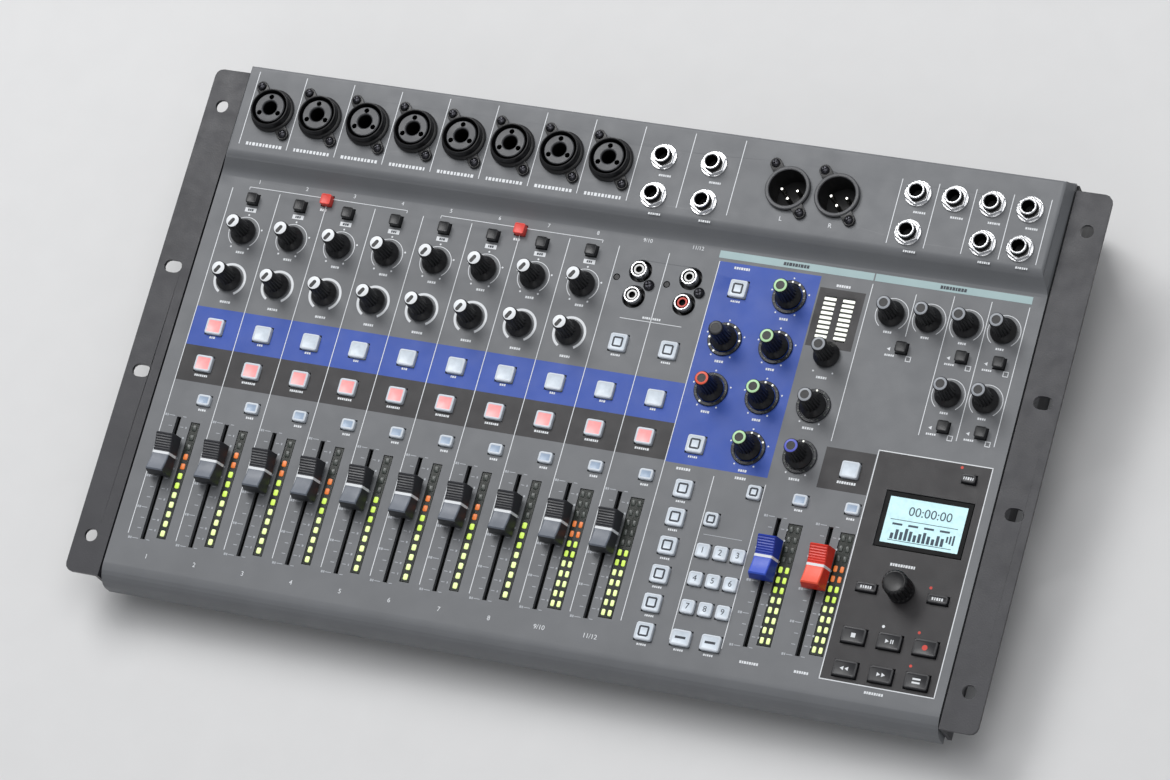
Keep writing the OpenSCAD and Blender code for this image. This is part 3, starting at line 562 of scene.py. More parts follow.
side_x = column(-0.5)
strip_x = column(9.5)
strip_end_x = column(11.5)
PANEL_TOP = 75
PANEL_FOOT = -113
lcd = max(windows, key=lambda w: w.w)
recorder_left = lcd.x - 31.2
RECORDER_AREA = (recorder_left, lcd.x + 26.5, -123.6, -7.6)
BLUE_AREAS = [
    (side_x, strip_x, -10.8, 10),
    (strip_x, strip_end_x, -30.5, PANEL_TOP),
]
BLACK_AREAS = [
    (side_x, strip_x, -30, -10.8),
    (column(12.45), recorder_left - 0.6, -31, -10),
    RECORDER_AREA,
    (column(11.53), column(12.42), 39, 69.5),
]


def printed_cover():
    cover = dressed("top_cover", "moulded_cover")
    coat(cover, cover_grey, print_blue, print_black)
    out = (PANEL.to_3x3() @ Vector((0, 0, 1))).normalized()

    def on_top(middle, normal):
        return normal.dot(out) > 0.99 and abs((TO_PANEL @ middle).z) < 0.1

    edit(cover)
    for index, areas in ((1, BLUE_AREAS), (2, BLACK_AREAS)):
        for x0, x1, y0, y1 in areas:
            for corner, way in (
                ((x0, y0), (1, 0, 0)),
                ((x1, y0), (1, 0, 0)),
                ((x0, y0), (0, 1, 0)),
                ((x0, y1), (0, 1, 0)),
            ):
                pick_faces(on_top)
                bpy.ops.mesh.bisect(
                    plane_co=PANEL @ Vector((*corner, 0)),
                    plane_no=PANEL.to_3x3() @ Vector(way) / MM,
                    threshold=1e-7,
                )

            def inside(middle, normal):
                place = TO_PANEL @ middle
                return on_top(middle, normal) and x0 < place.x < x1 and y0 < place.y < y1

            pick_faces(inside)
            paint(index)
    weigh(cover)
    return fit(cover, "console", "cover", "top_cover")


# Prints: thin films of ink on the panel and the deck

prints = {ink: [] for ink in ("white", "dark", "grey", "teal", "red")}


def raise_all(height):
    """In edit mode, extrudes the whole of a flat shape upwards."""
    bpy.ops.mesh.select_all(action="SELECT")
    bpy.ops.mesh.extrude_region_move(TRANSFORM_OT_translate={"value": (0, 0, height)})


def unit_film(add_outline, **outline):
    """A plate one unit high, that each printed shape is a resized copy of."""
    leave_edit()
    add_outline(**outline)
    plate = bpy.context.object
    bpy.ops.object.mode_set(mode="EDIT")
    raise_all(1)
    return seal(plate)


def printed_ring(outer, inner, gap):
    """A flat ring that is open at the front over an angle."""
    leave_edit()
    bpy.ops.mesh.primitive_circle_add(vertices=48, radius=outer, fill_type="NOTHING")
    ring = bpy.context.object
    bpy.ops.object.mode_set(mode="EDIT")
    bpy.ops.mesh.select_mode(type="VERT")
    bpy.ops.mesh.select_all(action="SELECT")
    bpy.ops.mesh.extrude_region_move()
    bpy.ops.transform.resize(value=(inner / outer, inner / outer, 1), center_override=(0, 0, 0))
    pick_faces(lambda middle, normal: abs(math.degrees(math.atan2(middle.x, -middle.y))) < gap / 2)
    bpy.ops.mesh.delete(type="FACE")
    raise_all(PRINT_T)
    return seal(ring)


BAR = unit_film(bpy.ops.mesh.primitive_plane_add, size=1)
DOT = unit_film(bpy.ops.mesh.primitive_circle_add, vertices=12, radius=1, fill_type="NGON")
TRIANGLE = unit_film(bpy.ops.mesh.primitive_circle_add, vertices=3, radius=1, fill_type="NGON")


def stroke(x, y, z, w, l, turn=0):
    """Place and size of a printed shape."""
    return on_panel(x, y, z, turn) @ Matrix.Diagonal((w, l, PRINT_T, 1))


def mark(ink, x, y, w, l, z=0, turn=0, master=BAR):
    prints[ink].append((master, stroke(x, y, z, w, l, turn)))


# The stops of a knob, in degrees from the rear, and the places between them
LOW_STOP = 150
STOPS = (-LOW_STOP, LOW_STOP)
SCALE = (-LOW_STOP, -75, 0, 75, LOW_STOP)


def dots(x, y, reach, size, angles=SCALE):
    """Dots round a knob."""
    for angle in angles:
        turn = math.radians(angle)
        mark("white", x + reach * math.sin(turn), y + reach * math.cos(turn), size, size, 0, 0, DOT)


def frame_line(ink, x0, x1, y0, y1, line):
    """A printed outline of a rectangle."""
    for y in (y0, y1):
        mark(ink, (x0 + x1) / 2, y, x1 - x0 + line, line)
    for x in (x0, x1):
        mark(ink, x, (y0 + y1) / 2, line, y1 - y0)


# Widths of the strokes that stand for the letters of a label
STROKES = (0.75, 0.55, 0.9, 0.65, 0.8, 0.5, 0.85, 0.7)


def label(ink, x, y, count, height=1.2, z=0, start=0, gap=0.3):
    """A row of short strokes in place of a printed word."""
    widths = [STROKES[(start + k) % len(STROKES)] * height for k in range(count)]
    at = x - (sum(widths) + gap * (count - 1)) / 2
    for w in widths:
        mark(ink, at + w / 2, y, w, height, z)
        at += w + gap


def number(name, text, x, y, height, ink, z=0, body="console", slot="cover"):
    """A plain number or letter, printed on the panel, a key or the screen."""
    leave_edit()
    bpy.ops.object.text_add()
    words = bpy.context.object
    words.data.body = text
    words.data.size = height * 1.4
    words.data.align_x = "CENTER"
    words.data.align_y = "CENTER"
    words.data.extrude = PRINT_T / 2
    words.data.resolution_u = 4
    bpy.ops.object.convert(target="MESH")
    piece = bpy.context.object
    piece.data.transform(on_panel(x, y, z + PRINT_T / 2))
    piece.name = name
    piece.data.name = name
    coat(piece, ink)
    return fit(piece, body, slot)


# Rows of print, up the panel
FRONT_NUMBERS = -123.5
SCALE_FOOT = -115
SCALE_L = 66
RECORD_LABELS = -26.2
SELECT_LABELS = -5.6
COMP_LABELS = 14
GAIN_LABELS = 41.2
SWITCH_PLATES = 64.4
BRACKETS = 76.6
SECTION_BARS = 78.6
REAR_NUMBERS = 79.8
SOCKET_LABELS = 96.9


def is_red(switch):
    return switch.x < column(7.5) and switch.y > 73


def channel_prints():
    """Lines between the channels, numbers, brackets and labels."""
    for i in range(11):
        x = column(i - 0.5)
        mark("white", x, (PANEL_TOP + PANEL_FOOT) / 2, LINE, PANEL_TOP - PANEL_FOOT)
        mark("white", x, 116, LINE, 40, DECK_Z)
    for i in range(10):
        x = column(i)
        text = str(i + 1) if i < 8 else ("9/10", "11/12")[i - 8]
        number(f"channel_number_front_{i + 1}", text, x, FRONT_NUMBERS, 2.4, ink_white)
        number(f"channel_number_rear_{i + 1}", text, x + 0.5, REAR_NUMBERS, 2, ink_white)
        if i < 8:
            label("white", x + 0.4, SOCKET_LABELS, 11, 1.7, DECK_Z, i, 0.65)
            label("white", x + 1, GAIN_LABELS, 4, 1.2, 0, i + 1)
            label("white", x + 1, COMP_LABELS, 5, 1.2, 0, i + 2)
            mark("white", x, SWITCH_PLATES, 6.2, 2.3)
            label("dark", x, SWITCH_PLATES, 3, 1.1, PRINT_T, i)
        label("white", x, SELECT_LABELS, 3, 1.1, 0, i)
        label("white", x, RECORD_LABELS, 7, 1.1, 0, i + 3)
    for first in (0, 4):
        left = column(first) - 4
        right = column(first + 3) + 4
        mark("white", (left + right) / 2, BRACKETS, right - left, FINE_LINE)
        for x in (left, right):
            mark("white", x, BRACKETS - 0.7, FINE_LINE, 1.4)
    for key in mute_keys:
        label("white", key.x, key.y - 5, 4, 1.1)
    for switch in switches:
        if is_red(switch):
            label("white", switch.x - 1, switch.y - 5, 3, 1.3)


def fader_prints():
    """Scales beside the fader slots."""
    for x in fader_x.values():
        for k in range(13):
            y = SCALE_FOOT + SCALE_L * k / 12
            wide = 3.2 if k % 3 == 0 else 2
            mark("grey", x - 2.4 - wide / 2, y, wide, 0.35)
            mark("grey", x + 3, y, 1.8, 0.35)
            if k % 3 == 0:
                label("grey", x - 7, y, 2, 1.2, 0, k)
            else:
                label("grey", x + 5.4, y, 1, 1, 0, k)


def knob_prints():
    """Rings, dots and labels round the knobs."""
    comp_ring = printed_ring(8.85, 7.6, 60)
    fine_ring = printed_ring(8.5, 8.15, 80)
    for k in range(1, 9):
        prints["white"].append((comp_ring, on_panel(*spot(f"comp_knob_{k}"))))
        x, y = spot(f"gain_knob_{k}")
        prints["white"].append((fine_ring, on_panel(x, y)))
        dots(x, y, 9.6, 0.5)
    for k in range(1, 7):
        x, y = spot(f"monitor_knob_{k}")
        prints["white"].append((fine_ring, on_panel(x, y)))
        label("white", x, y - 9.2, 4, 1.1, 0, k)
    for name in ("high", "mid", "low", "pan", "effects", "frequency"):
        x, y = spot(f"{name}_knob")
        dots(x, y, 10, 0.45)
        label("white", x, y - 11.6, 4, 1.2, 0, len(name))
    for k in (1, 2, 3):
        x, y = spot(f"output_knob_{k}")
        dots(x, y, 10, 0.45, STOPS)
        label("white", x, y - 11.6, 5, 1.2, 0, k)
    return comp_ring, fine_ring


def section_prints():
    """Lines and labels of the strip, monitor, scene and recorder sections."""
    bar_left = strip_x - 1
    bar_mid = column(12.5)
    bar_right = monitor_x[3] + 10
    for x0, x1 in ((bar_left, bar_mid - 0.4), (bar_mid + 0.4, bar_right)):
        mark("teal", (x0 + x1) / 2, SECTION_BARS, x1 - x0, 3.8)
        label("dark", (x0 + x1) / 2, SECTION_BARS, 9, 1.7, PRINT_T)
    for x in (column(12.5), monitor_x[1] + MONITOR_PITCH / 2, monitor_x[2] + MONITOR_PITCH / 2,
              monitor_x[3] + MONITOR_PITCH / 2):
        long = 82 if x < monitor_x[0] else 72
        mark("white", x, PANEL_TOP - long / 2, LINE, long)
    mark("white", monitor_x[0] + MONITOR_PITCH / 2, 62, LINE, 22)
    for k in range(5):
        mark("white", monitor_x[0] + MONITOR_PITCH * (k - 0.5), 111, LINE, 34, DECK_Z)
    for switch in switches:
        if switch.x > column(12.5):
            mark("white", switch.x - 6.5, switch.y - 1, 1.1, 1.1, 0, 90, TRIANGLE)
            label("white", switch.x - 5.6, switch.y - 4.2, 5, 1)
            frame_line("white", switch.x + 3, switch.x + 5.4, switch.y - 6, switch.y - 3.6, LINE)
    for socket in phones:
        label("white", socket.x + 3, socket.y - 9.6, 6, 1.1, DECK_Z, int(socket.x))
    for text, x in (("L", column(11) - 12.3), ("R", column(11) + 13.5)):
        number(f"output_side_{text}", text, x, 98.4, 2.4, ink_white, DECK_Z)
    frame_line("white", *RECORDER_AREA, 0.5)
    for key in record_keys:
        if key.x > column(11):
            label("white", key.x - 0.5, key.y - 6.6, 8, 1.3)
    x, y = spot("menu_encoder")
    label("white", x - 2.5, y + 12, 10, 1.4)
    recorder_lamps()
    for key in mode_keys:
        if key.x < column(10.3) or key.y < -110:
            label("white", key.x, key.y - key.l / 2 - 1.9, 5, 1, 0, int(-key.y))
    for x, y, count in (
        (column(10) - 1, 72.6, 7), (column(12) - 1, 71.4, 6), (column(10) - 3, -33, 6),
        (column(11), -33, 5), (fader_x["effects_fader"] + 4, -122.6, 8),
        (fader_x["master_fader"] + 4, -122.6, 6), (lcd.x - 3, -126.6, 8),
    ):
        label("white", x, y, count, 1.3, 0, count)
    mark("white", column(8.5), 38.2, PITCH + 6, FINE_LINE)
    label("white", column(8.5), 40, 9, 1.1)
    scene_left = column(10.5) - 1.5
    mark("white", column(10.5), -76, LINE, 84)
    mark("white", column(11.5) + 0.2, -76, LINE, 84)
    mark("grey", (scene_left + column(11.5)) / 2, -63.5, 20, FINE_LINE)


def transport_keys():
    """The six large keys of the recorder, row by row from the rear."""
    return sorted((k for k in recorder_keys if k.l > 6), key=lambda k: (round(-k.y), k.x))


def recorder_lamps():
    """Small lamps beside the recorder's keys."""
    _, play, record, _, _, tool = transport_keys()
    small = [k for k in recorder_keys if k.l < 6 and k.x > lcd.x]
    for ink, key in [("white", play), ("red", record), ("red", tool)] + [("red", k) for k in small]:
        mark(ink, key.x - 5, key.y + key.l / 2 + 3.2, 0.75, 0.75, 0, 0, DOT)


def lay_prints():
    inks = {"white": ink_white, "grey": ink_grey, "teal": ink_teal, "dark": ink_dark, "red": ink_red}
    for ink, parts in prints.items():
        film(f"panel_print_{ink}", parts, inks[ink], "console", "cover")


# Knobs

SKIRT_GAP = 0.8
STEM_FOOT = -9.5
KNOB_SKIRT = 6.6
KNOB_GRIP = 3.8
KNOB_TOP = 16.5
CAP_RIM = KNOB_GRIP - 0.45
CAP_FACE = KNOB_TOP - 0.15
CAP_DISH = CAP_RIM - 1.1


def flute(piece, flutes, grow, low, high, least):
    """Presses grooves into a round piece, between two heights and outside a radius."""
    step = 2 * math.pi / flutes

    def in_flute(point):
        turn = math.atan2(point.y, point.x) / step
        return low < point.z < high and point.xy.length > least and abs(turn - round(turn)) < 0.1

    edit(piece)
    pick_points(in_flute)
    bpy.ops.transform.resize(value=(grow, grow, 1), center_override=(0, 0, 0))
    seal(piece, 30)
    coat(piece, knob_black)
    return piece


def knob_body():
    """A skirt with a fluted, tapered grip, on its stem."""
    flutes = 16
    foot = SKIRT_GAP
    body = turned([
        (2.9, STEM_FOOT), (2.9, foot), (KNOB_SKIRT - 0.3, foot), (KNOB_SKIRT, foot + 0.3),
        (KNOB_SKIRT, foot + 1.2), (KNOB_SKIRT - 0.4, foot + 1.7), (KNOB_GRIP + 1.5, foot + 2.7),
        (KNOB_GRIP + 0.95, foot + 3.4), (KNOB_GRIP + 0.6, foot + 4.6),
        (KNOB_GRIP + 0.35, KNOB_TOP * 0.55), (KNOB_GRIP + 0.05, KNOB_TOP - 1.1),
        (KNOB_GRIP - 0.1, KNOB_TOP - 0.5), (KNOB_GRIP - 0.45, CAP_FACE),
    ], 3 * flutes)
    return flute(body, flutes, 0.88, foot + 3, KNOB_TOP - 0.9, 0)


def slotted_cap():
    """A white disc with a dark slot that points the way."""
    disc = turned([(CAP_RIM, CAP_FACE - 0.6), (CAP_RIM, CAP_FACE), (CAP_RIM - 0.2, CAP_FACE + 0.08)])
    coat(disc, cap_white)
    slot = slab(2, 4.5, CAP_FACE - 0.2, CAP_FACE + 0.12, 0.95)
    slot.data.transform(Matrix.Translation((0, 0.7, 0)))
    coat(slot, knob_black)
    cap = gather("slotted_cap", [(disc, Matrix()), (slot, Matrix())])
    drop(disc, slot)
    return cap


def ring_cap(tinted):
    """A tinted ring round a dark dish."""
    cap = turned([
        (CAP_RIM, CAP_FACE - 0.6), (CAP_RIM, CAP_FACE), (CAP_RIM - 0.2, CAP_FACE + 0.12),
        (CAP_DISH, CAP_FACE + 0.12), (CAP_DISH - 0.1, CAP_FACE - 0.1),
    ])
    coat(cap, tinted, knob_black)
    paint_where(cap, 1, lambda middle, normal: middle.xy.length < CAP_DISH)
    return cap


# The tint of each ringed knob's cap and how far to the left it points
RINGED_KNOBS = {
    "high_knob": (cap_green, 0),
    "mid_knob": (cap_green, 0),
    "low_knob": (cap_green, 0),
    "pan_knob": (cap_green, 0),
    "effects_knob": (cap_orange, LOW_STOP),
    "frequency_knob": (fader_grey, 0),
    "output_knob_1": (cap_grey, LOW_STOP),
    "output_knob_2": (cap_grey, LOW_STOP),
    "output_knob_3": (cap_blue, LOW_STOP),
    **{f"monitor_knob_{k}": (cap_grey, LOW_STOP) for k in range(1, 7)},
}


def knobs():
    grip = knob_body()
    white = slotted_cap()
    rings = {}
    for body in (f"{row}_knob_{k}" for row in ("gain", "comp") for k in range(1, 9)):
        place = on_panel(*spot(body), 0, LOW_STOP)
        fit(gather(body + "_piece", [(grip, place), (white, place)]), body, "knobs", body)
    for body, (tinted, turn) in RINGED_KNOBS.items():
        if tinted not in rings:
            rings[tinted] = ring_cap(tinted)
        place = on_panel(*spot(body), 0, turn)
        fit(gather(body + "_piece", [(grip, place), (rings[tinted], place)]), body, "knobs", body)
    drop(grip, white, *rings.values())


def encoder():
    """The menu encoder: a fluted drum with a smooth dished top."""
    flutes = 18
    drum = turned([
        (2.9, STEM_FOOT), (2.9, SKIRT_GAP), (6.3, SKIRT_GAP), (6.6, 1.1), (6.6, 2.8), (6.45, 3.2),
        (6.35, 12.6), (6.1, 13.3), (5.4, 13.9), (4.9, 14), (4.5, 13.8), (2, 13.4),
    ], 4 * flutes)
    flute(drum, flutes, 0.92, 3, 13.4, 5.9)
    piece = gather("menu_encoder_piece", [(drum, on_panel(*spot("menu_encoder")))])
    drop(drum)
    return fit(piece, "menu_encoder", "knobs", "menu_encoder")


# Faders

CAP_L = 21
CAP_BASE_W = 12
CAP_TOP_W = 9
CAP_LOW = 2.5
CAP_TOP = 11
CAP_DIP = 2.4
LINE_HALF = 0.65


def cap_height(y):
    """Height of the cap's saddle."""
    reach = CAP_L / 2 - 1.5
    share = min(1, abs(y) / reach)
    return CAP_TOP - CAP_DIP * (1 - share * share)


def fader_cap():
    """A saddle along the travel, smooth in front of its pointer line and ridged behind it."""
    half = CAP_L / 2
    slices = [-half, 0.5 - half, 1.2 - half, -7, -4.8, -2.8, -1.2, -LINE_HALF, LINE_HALF]
    ridge = 0.62
    y = 1.3
    while y < half - 1.5:
        slices.append(y)
        y += ridge
    slices += [half - 1.2, half - 0.5, half]
    heights = []
    for k, y in enumerate(slices):
        ridged = LINE_HALF < y < half - 1.5 and k % 2
        lowered = {0: 2.2, 1: 0.5}.get(min(k, len(slices) - 1 - k), 0)
        heights.append(cap_height(y) - (0.35 if ridged else 0) - lowered)
    leave_edit()
    bpy.ops.mesh.primitive_plane_add(size=1)
    cap = bpy.context.object
    bpy.ops.object.mode_set(mode="EDIT")
    bpy.ops.mesh.select_all(action="SELECT")
    bpy.ops.transform.rotate(value=math.radians(90), orient_axis="X", center_override=(0, 0, 0))
    rise = heights[0] - CAP_LOW
    bpy.ops.transform.resize(value=(CAP_BASE_W, 1, rise), center_override=(0, 0, 0))
    bpy.ops.transform.translate(value=(0, slices[0], CAP_LOW + rise / 2))
    for k in range(1, len(slices)):
        step = slices[k] - slices[k - 1]
        bpy.ops.mesh.extrude_region_move(TRANSFORM_OT_translate={"value": (0, step, 0)})
        grow = (heights[k] - CAP_LOW) / (heights[k - 1] - CAP_LOW)
        bpy.ops.transform.resize(value=(1, 1, grow), center_override=(0, slices[k], CAP_LOW))
    pick_points(lambda point: point.z > CAP_LOW + 1)
    bpy.ops.transform.resize(value=(CAP_TOP_W / CAP_BASE_W, 1, 1), center_override=(0, 0, 0))
    seal(cap, 25)
    edit(cap)
    pick_edges(lambda a, b: a.z > CAP_LOW + 1 and b.z > CAP_LOW + 1 and a.x * b.x > 0 and abs(a.x) > 3)
    bpy.ops.mesh.bevel(offset=0.55, segments=2, affect="EDGES")
    return seal(cap, 25)


def faders():
    cap = fader_cap()
    lever = slab(1.2, 5, -10, CAP_LOW + 0.5, 0.3)
    coat(lever, dark_steel)
    coat(cap, fader_grey, ink_white, fader_front)
    paint_where(cap, 1, lambda middle, normal: abs(middle.y) < LINE_HALF and middle.z > CAP_LOW + 0.2)
    # The upward faces in front of the pointer line get a lighter copy of the cap's colour: a painted
    # highlight
    paint_where(cap, 2, lambda middle, normal: middle.y < -LINE_HALF and normal.z > 0.3)
    styles = {
        "effects_fader": (fader_blue, painted_blue_highlight, "blue_cap"),
        "master_fader": (fader_red, painted_red_highlight, "red_cap"),
    }
    for body, x in fader_x.items():
        # front holds the lighter copy that paints the highlight on the cap's front half
        ridged, front, slot = styles.get(body, (fader_grey, fader_front, "caps"))
        cap.data.materials[0] = ridged
        cap.data.materials[2] = front
        place = on_panel(x, fader_middle(body))
        piece = gather(body + "_piece", [(cap, place), (lever, place)])
        fit(piece, body, slot, body)
    drop(cap, lever)


def fader_middle(body):
    """Where along the panel a fader stands at rest."""
    points = [TO_PANEL @ point.co for point in cad[body].data.vertices]
    return (min(p.y for p in points) + max(p.y for p in points)) / 2


# Keys and switches

PLUNGER = -10


def key_master(w, l, top, window, skirt):
    """A soft key: a rounded cap with a sunk window that light comes through."""
    key = slab(w, l, -3, top, min(1.2, l / 3), 0.5)
    coat(key, skirt, window)
    edit(key)
    pick_top(top)
    bpy.ops.mesh.inset(thickness=0.45, depth=0)
    bpy.ops.mesh.inset(thickness=0.15, depth=-0.08)
    paint(1)
    leave_edit()
    return key


def key_piece(name, body, slot, keys, choose):
    """All keys of one node, each a copy of the master of its size and colour."""
    masters = {}
    parts = []
    for key in keys:
        window, skirt = choose(key)
        kind = (round(key.w, 1), round(key.l, 1), window.name)
        if kind not in masters:
            masters[kind] = key_master(key.w, key.l, key.z + key.h / 2, window, skirt)
        parts.append((masters[kind], on_panel(key.x, key.y)))
        plunger = ("plunger", round(key.w, 1), round(key.l, 1))
        if plunger not in masters:
            masters[plunger] = slab(key.w - 3, key.l - 3, PLUNGER, -3, 0.4)
            coat(masters[plunger], skirt)
        parts.append((masters[plunger], on_panel(key.x, key.y)))
    piece = gather(name, parts)
    drop(*masters.values())
    return fit(piece, body, slot, body)


def channel_key(key):
    if key in mute_keys:
        return key_mute, key_skirt
    lit = column(11 if key in record_keys else 0.5)
    return (key_pink if key.x < lit else key_pale), key_skirt


def black_key(key):
    return key_black, key_black


def keys():
    key_piece("channel_key_caps", "channel_keys", "lit_keys", channel_keys, channel_key)
    key_piece("mode_key_caps", "mode_keys", "pale_keys", mode_keys, lambda key: (key_pale, key_skirt))
    key_piece("recorder_key_caps", "recorder_keys", "black_keys", recorder_keys, black_key)
    key_icons()


def key_icons():
    """Plain signs on the key tops, that move with the keys."""
    top = mode_keys[0].z + mode_keys[0].h / 2 - 0.09
    scene = [k for k in mode_keys if abs(k.w - 7) < 0.5 and k.y < -65]
    for index, key in enumerate(scene, 1):
        name = f"scene_number_{index}"
        number(name, str(index), key.x, key.y, 3, ink_dark, top, "mode_keys", "pale_keys")
    dark = []
    for key in mode_keys:
        if key in scene:
            continue
        if key.l < key.w - 0.5:
            dark.append((BAR, stroke(key.x, key.y, top, 5.4, 1.2)))
            continue
        half = key.w * 0.25
        for side in (-half, half):
            dark.append((BAR, stroke(key.x + side, key.y, top, 0.91, 2 * half + 0.01)))
            dark.append((BAR, stroke(key.x, key.y + side, top, 2 * half + 0.01, 0.91)))
    film("mode_key_signs", dark, ink_dark, "mode_keys", "pale_keys")
    transport_signs(top)


def transport_signs(top):
    """Triangles, bars and a dot on the recorder's keys."""
    pale = []

    def sign(master, key, dx, dy, w, l, turn=0):
        pale.append((master, stroke(key.x + dx, key.y + dy, top, w, l, turn)))

    halt, play, record, back, ahead, tool = transport_keys()
    for side in (-1, 1):
        sign(TRIANGLE, back, 1.2 * side, 0, 1.2, 1.2, 90)
        sign(TRIANGLE, ahead, 1.2 * side, 0, 1.2, 1.2, -90)
        sign(BAR, play, 1.5 + 0.5 * side, 0, 0.5, 2)
        sign(BAR, tool, 0, 0.9 * side, 4, 0.9)
    sign(BAR, halt, 0, 0, 2.2, 2.2)
    sign(TRIANGLE, play, -1.2, 0, 1.2, 1.2, -90)
    for key in recorder_keys:
        if key.l < 6:
            for k in range(5):
                sign(BAR, key, 1.2 * (k - 2), 0, STROKES[k], 1.4)
    film("transport_signs", pale, ink_white, "recorder_keys", "black_keys")
    red = [(DOT, stroke(record.x, record.y, top, 1.4, 1.4))]
    film("record_sign", red, ink_red, "recorder_keys", "black_keys")


def switch_caps():
    parts = []
    masters = {}
    for switch in switches:
        red = is_red(switch)
        if red not in masters:
            top = switch.z + switch.h / 2
            cap = slab(switch.w, switch.l, -9.5, top, 0.9, 0.35)
            coat(cap, switch_red if red else switch_black)
            edit(cap)
            pick_top(top)
            bpy.ops.mesh.inset(thickness=0.45, depth=-0.2)
            seal(cap)
            masters[red] = cap
        parts.append((masters[red], on_panel(switch.x, switch.y)))
    piece = gather("push_switch_caps", parts)
    drop(*masters.values())
    return fit(piece, "push_switches", "black_keys", "push_switches")


# Sockets

TAB_ANGLE = 128
TAB_CIRCLE = 15.2


def screw_head(radius, height, length, finish):
    """A pan head screw with a crossed slot."""
    head = turned([
        (1.1, -length), (1.5, 0.6 - length), (1.5, 0), (radius, 0), (radius, height * 0.35),
        (radius * 0.86, height * 0.72), (radius * 0.55, height),
    ], 24)
    for turn in (0, 90):
        slot = slab(radius * 1.15, 0.55, height * 0.35, height * 2)
        slot.data.transform(Matrix.Rotation(math.radians(turn), 4, "Z"))
        cut(head, slot)
    coat(head, finish)
    return smooth(head, 30)


def hex_nut():
    """A washer and a six-sided nut with a chamfered top, both with a round hole."""
    hole = 4.55
    washer = hollow([(hole, 0), (6.6, 0), (6.8, 0.15), (6.8, 0.55), (6.6, 0.7), (hole, 0.7)], 40)
    nut = turned([(6.6, 0.7), (6.6, 1.75), (6.25, 2.1)], 6)
    cut(nut, turned([(hole, 0), (hole, 4)], 32))
    soften(nut, 0.15, 30)
    piece = gather("nut_master", [(washer, Matrix()), (nut, Matrix())])
    drop(washer, nut)
    coat(piece, chrome)
    return piece


def tab():
    """One screw tab of a round socket."""
    ear = turned([(3, 0), (3, 1.2), (2.7, 1.6)], 24)
    ear.data.transform(Matrix.Translation((TAB_CIRCLE, 0, 0)))
    web = slab(5, 6, 0, 1.6, 0, 0.3)
    web.data.transform(Matrix.Translation((12.7, 0, 0)))
    piece = gather("tab_master", [(ear, Matrix()), (web, Matrix())])
    drop(ear, web)
    coat(piece, socket_black)
    return piece


def with_tabs(body, flap, socket):
    """A round socket on the deck and its two tabs."""
    parts = [(body, on_panel(socket.x, socket.y, DECK_Z))]
    for turn in (TAB_ANGLE, TAB_ANGLE + 180):
        parts.append((flap, on_panel(socket.x, socket.y, DECK_Z, turn)))
    return parts


def combo_master():
    """A combination socket: collar, groove, core with a plug bore and three contact holes."""
    body = turned([
        (10.6, -26), (10.6, 0), (11.3, 0), (11.5, 0.2), (11.5, 1.3), (11.2, 1.6), (10.3, 1.9),
        (10.2, 5.4), (9.9, 5.9), (9.6, 6), (9.3, 5.8), (9.3, -6), (7.8, -6), (7.8, 4.8), (7.4, 5.2),
        (4.4, 5.2), (3.9, 4.9), (3.6, 4.4), (3.6, -8),
    ], 48)
    for angle in (95, 215, 335):
        hole = turned([(1.35, -4), (1.35, 9)], 16)
        turn = Matrix.Rotation(math.radians(angle), 4, "Z")
        hole.data.transform(turn @ Matrix.Translation((5.8, 0, 0)))
        cut(body, hole)
    coat(body, socket_black, socket_face, hole_shade_and_screen_border)

    def on_face(middle, normal):
        return normal.z > 0.6 and middle.z > 4.4 and 3.7 < middle.xy.length < 8

    paint_where(body, 1, on_face)
    # The walls and floors of the groove, plug bore and contact holes are painted near-black: painted
    # shade in the hollows
    paint_where(body, 2, lambda middle, normal: middle.z < 3 and middle.xy.length < 9.2)
    return smooth(body, 30)


def combo_row():
    body = combo_master()
    flap = tab()
    parts = []
    for socket in combos:
        parts += with_tabs(body, flap, socket)
    piece = gather("combination_socket_row", parts)
    drop(body, flap)
    return fit(piece, "console", "sockets", "combo_sockets")


def phone_row():
    bushing = turned([
        (4.5, -3), (4.5, 4.9), (4.3, 5.2), (4.1, 5.4), (3.6, 5.4), (3.2, 5), (3.2, -3.5), (3.1, -3.7),
        (3.1, -20),
    ])
    coat(bushing, chrome, hole_shade_and_screen_border)
    # Below its lip the chrome bushing is painted near-black, side and bore alike: painted shade
    paint_where(bushing, 1, lambda middle, normal: middle.z < 4.95)
    body = slab(13, 13, -26, -2.5, 0.8)
    coat(body, socket_black)
    parts = []
    for socket in phones:
        place = on_panel(socket.x, socket.y, DECK_Z)
        parts += [(bushing, place), (body, place)]
    piece = gather("phone_socket_set", parts)
    drop(bushing, body)
    return fit(piece, "console", "sockets", "phone_sockets")


